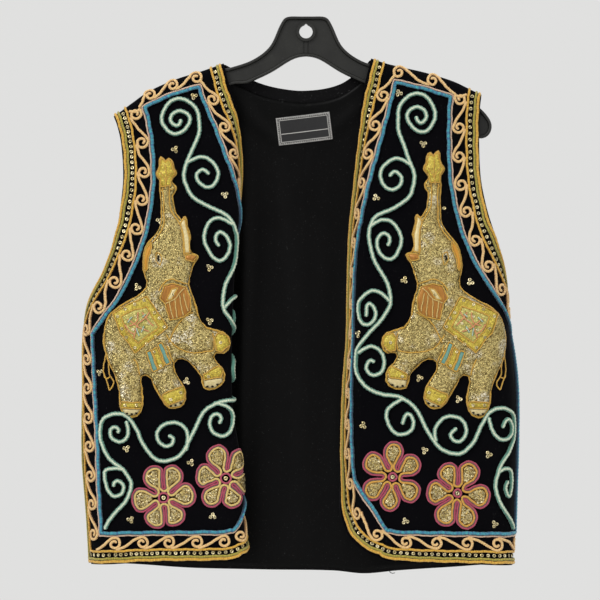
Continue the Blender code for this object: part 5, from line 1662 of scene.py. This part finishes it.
def makeHanger():
    halfOutline = smoothPath(hangerHalf + [(0.0, hanger["archTop"])], 3)
    outline = halfOutline + [(-x, z) for x, z in reversed(halfOutline[1:-1])]
    outline = evenPath(outline, 2.4, True)
    half = hanger["thick"] / 2
    bm = bmesh.new()
    front = bm.faces.new([bm.verts.new((x * mm, -half * mm, z * mm)) for x, z in outline])
    rear = bm.faces.new([bm.verts.new((x * mm, half * mm, z * mm)) for x, z in reversed(outline)])
    bmesh.ops.bridge_loops(bm, edges=list(front.edges) + list(rear.edges))
    bmesh.ops.recalc_face_normals(bm, faces=bm.faces[:])
    rims = []
    for face in (front, rear):
        rims += list(face.edges)
        bmesh.ops.inset_region(bm, faces=[face], thickness=hanger["rim"] * mm, use_even_offset=True)
        rims += list(face.edges)
        bmesh.ops.inset_region(bm, faces=[face], thickness=hanger["slope"] * mm, use_even_offset=True,
                               depth=(hanger["web"] / 2 - half) * mm)
    rims = [edge for edge in set(rims) if edge.is_valid]
    bmesh.ops.bevel(bm, geom=rims, offset=hanger["round"] * mm, offset_type="OFFSET", affect="EDGES", segments=2,
                    profile=0.5, material=-1)
    mesh = bpy.data.meshes.new("hangerPart")
    bm.to_mesh(mesh)
    bm.free()
    blank = bpy.data.objects.new("hangerPart", mesh)
    bpy.context.scene.collection.objects.link(blank)
    # boss, its hole with a peaked top, and the two grooves each side from the hole down to the arch
    cuts = [("UNION", cutter(hanger["boss"], hanger["thick"] + 0.6, 48)), ("DIFFERENCE", cutter(hanger["hole"], 30, 48)),
            ("DIFFERENCE", cutter(hanger["peak"], 30, 4, (0, 0, hanger["hole"] - 1.2)))]
    for x in (-hanger["grooveAt"], hanger["grooveAt"]):
        for y in (-1, 1):
            groove = cutter(0.72 * hanger["grooveWide"], 1.0, 4, (x, 0, 0), math.pi / 4)
            depth = (hanger["web"] / 2 - hanger["grooveDeep"] / 2 + 0.2) * y
            groove.data.transform(Matrix.LocRotScale(Vector((0, depth, -17.4)) * mm, None, (1, hanger["grooveDeep"] + 0.4, 11)))
            cuts.append(("DIFFERENCE", groove))
    for operation, tool in cuts:
        cut = blank.modifiers.new(operation, "BOOLEAN")
        cut.operation = operation
        cut.object = tool
    graph = bpy.context.evaluated_depsgraph_get()
    done = bpy.data.meshes.new_from_object(blank.evaluated_get(graph))
    for item in [tool for operation, tool in cuts] + [blank]:
        bpy.data.objects.remove(item)
    bm = bmesh.new()
    bm.from_mesh(done)
    bmesh.ops.remove_doubles(bm, verts=bm.verts[:], dist=1e-5)
    for face in bm.faces:
        face.material_index = 0
    item = keep("hanger_moulded", bm, finishes["plastic"], "plastic", "hanger")
    item.data.set_sharp_from_angle(angle=math.radians(34))


makeHanger()
print("hanger moulded")


def makeLooseThread():
    bm = bmesh.new()
    path = [(97.0, -627.5), (98.5, -630.5), (101.5, -632.0), (104.5, -631.4)]
    points = [backPoint(x, z, 0.8) for x, z in smoothPath(path, 5)]
    cordShape(bm, points, [Vector((0, -1, 0))] * len(points), 0.4, False, 5, 0.0)
    keep("loose_thread", bm, finishes["dark"], "back_cloth")


makeLooseThread()


stage = {"floorZ": -0.79, "floorSize": 1.1, "wall": linear(224, 224, 223), "cameraX": -0.00696, "cameraZ": -0.312,
         "distance": 4.5, "plane": -0.015, "frameWide": 0.696}


def makeStage():
    bm = bmesh.new()
    bmesh.ops.create_circle(bm, cap_ends=True, segments=64, radius=stage["floorSize"] / 2)
    mesh = bpy.data.meshes.new("studioFloor")
    bm.to_mesh(mesh)
    bm.free()
    floor = bpy.data.objects.new("studioFloor", mesh)
    floor.location.z = stage["floorZ"]
    bpy.context.scene.collection.objects.link(floor)
    material, tree, shader = newMaterial("studioFloor", Roughness=0.9)
    shader.inputs["Base Color"].default_value = (*stage["wall"], 1.0)
    mesh.materials.append(material)
    floor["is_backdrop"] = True
    world = bpy.data.worlds.new("studio")
    world.use_nodes = True
    # pale all round at eye level, brighter overhead and dimmer below
    tree = world.node_tree
    sky = tree.nodes["Background"]
    sky.inputs[0].default_value = (*stage["wall"], 1.0)
    place = addNode(tree, "ShaderNodeTexCoord")
    split = addNode(tree, "ShaderNodeSeparateXYZ")
    below = addNode(tree, "ShaderNodeMapRange", {"interpolation_type": "SMOOTHSTEP"},
                    {"From Min": -0.75, "From Max": -0.12, "To Min": 0.3, "To Max": 1.0})
    above = addNode(tree, "ShaderNodeMapRange", {"interpolation_type": "SMOOTHSTEP"},
                    {"From Min": 0.12, "From Max": 0.8, "To Min": 1.0, "To Max": 1.5})
    wire(tree, (place.outputs["Object"], split.inputs[0]), (split.outputs[2], below.inputs["Value"]),
         (split.outputs[2], above.inputs["Value"]))
    wire(tree, (mathNode(tree, "MULTIPLY", below.outputs[0], above.outputs[0]), sky.inputs[1]))
    bpy.context.scene.world = world
    bpy.context.scene.view_settings.view_transform = "Standard"
    for name, where, size, energy in (("keyLight", (-1.4, -1.8, 1.1), 1.0, 30.0), ("fillLight", (1.6, -1.8, 0.2), 1.6, 8.0),
                                      ("backLight", (0.4, 2.0, 0.8), 1.6, 12.0)):
        lamp = bpy.data.lights.new(name, "AREA")
        lamp.energy = energy
        lamp.size = size
        light = bpy.data.objects.new(name, lamp)
        light.location = where
        light.rotation_euler = (Vector((0, 0, -0.3)) - Vector(where)).to_track_quat("-Z", "Y").to_euler()
        bpy.context.scene.collection.objects.link(light)
    lens = bpy.data.cameras.new("camera")
    lens.sensor_fit = "HORIZONTAL"
    lens.angle = 2 * math.atan(stage["frameWide"] / 2 / stage["distance"])
    camera = bpy.data.objects.new("camera", lens)
    camera.location = (stage["cameraX"], stage["plane"] - stage["distance"], stage["cameraZ"])
    camera.rotation_euler = (math.pi / 2, 0, 0)
    bpy.context.scene.collection.objects.link(camera)
    bpy.context.scene.camera = camera


makeStage()

triangles = 0
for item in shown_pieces():
    graph = bpy.context.evaluated_depsgraph_get()
    mesh = item.evaluated_get(graph).data
    count = sum(len(p.vertices) - 2 for p in mesh.polygons)
    triangles += count
print("triangles", triangles)
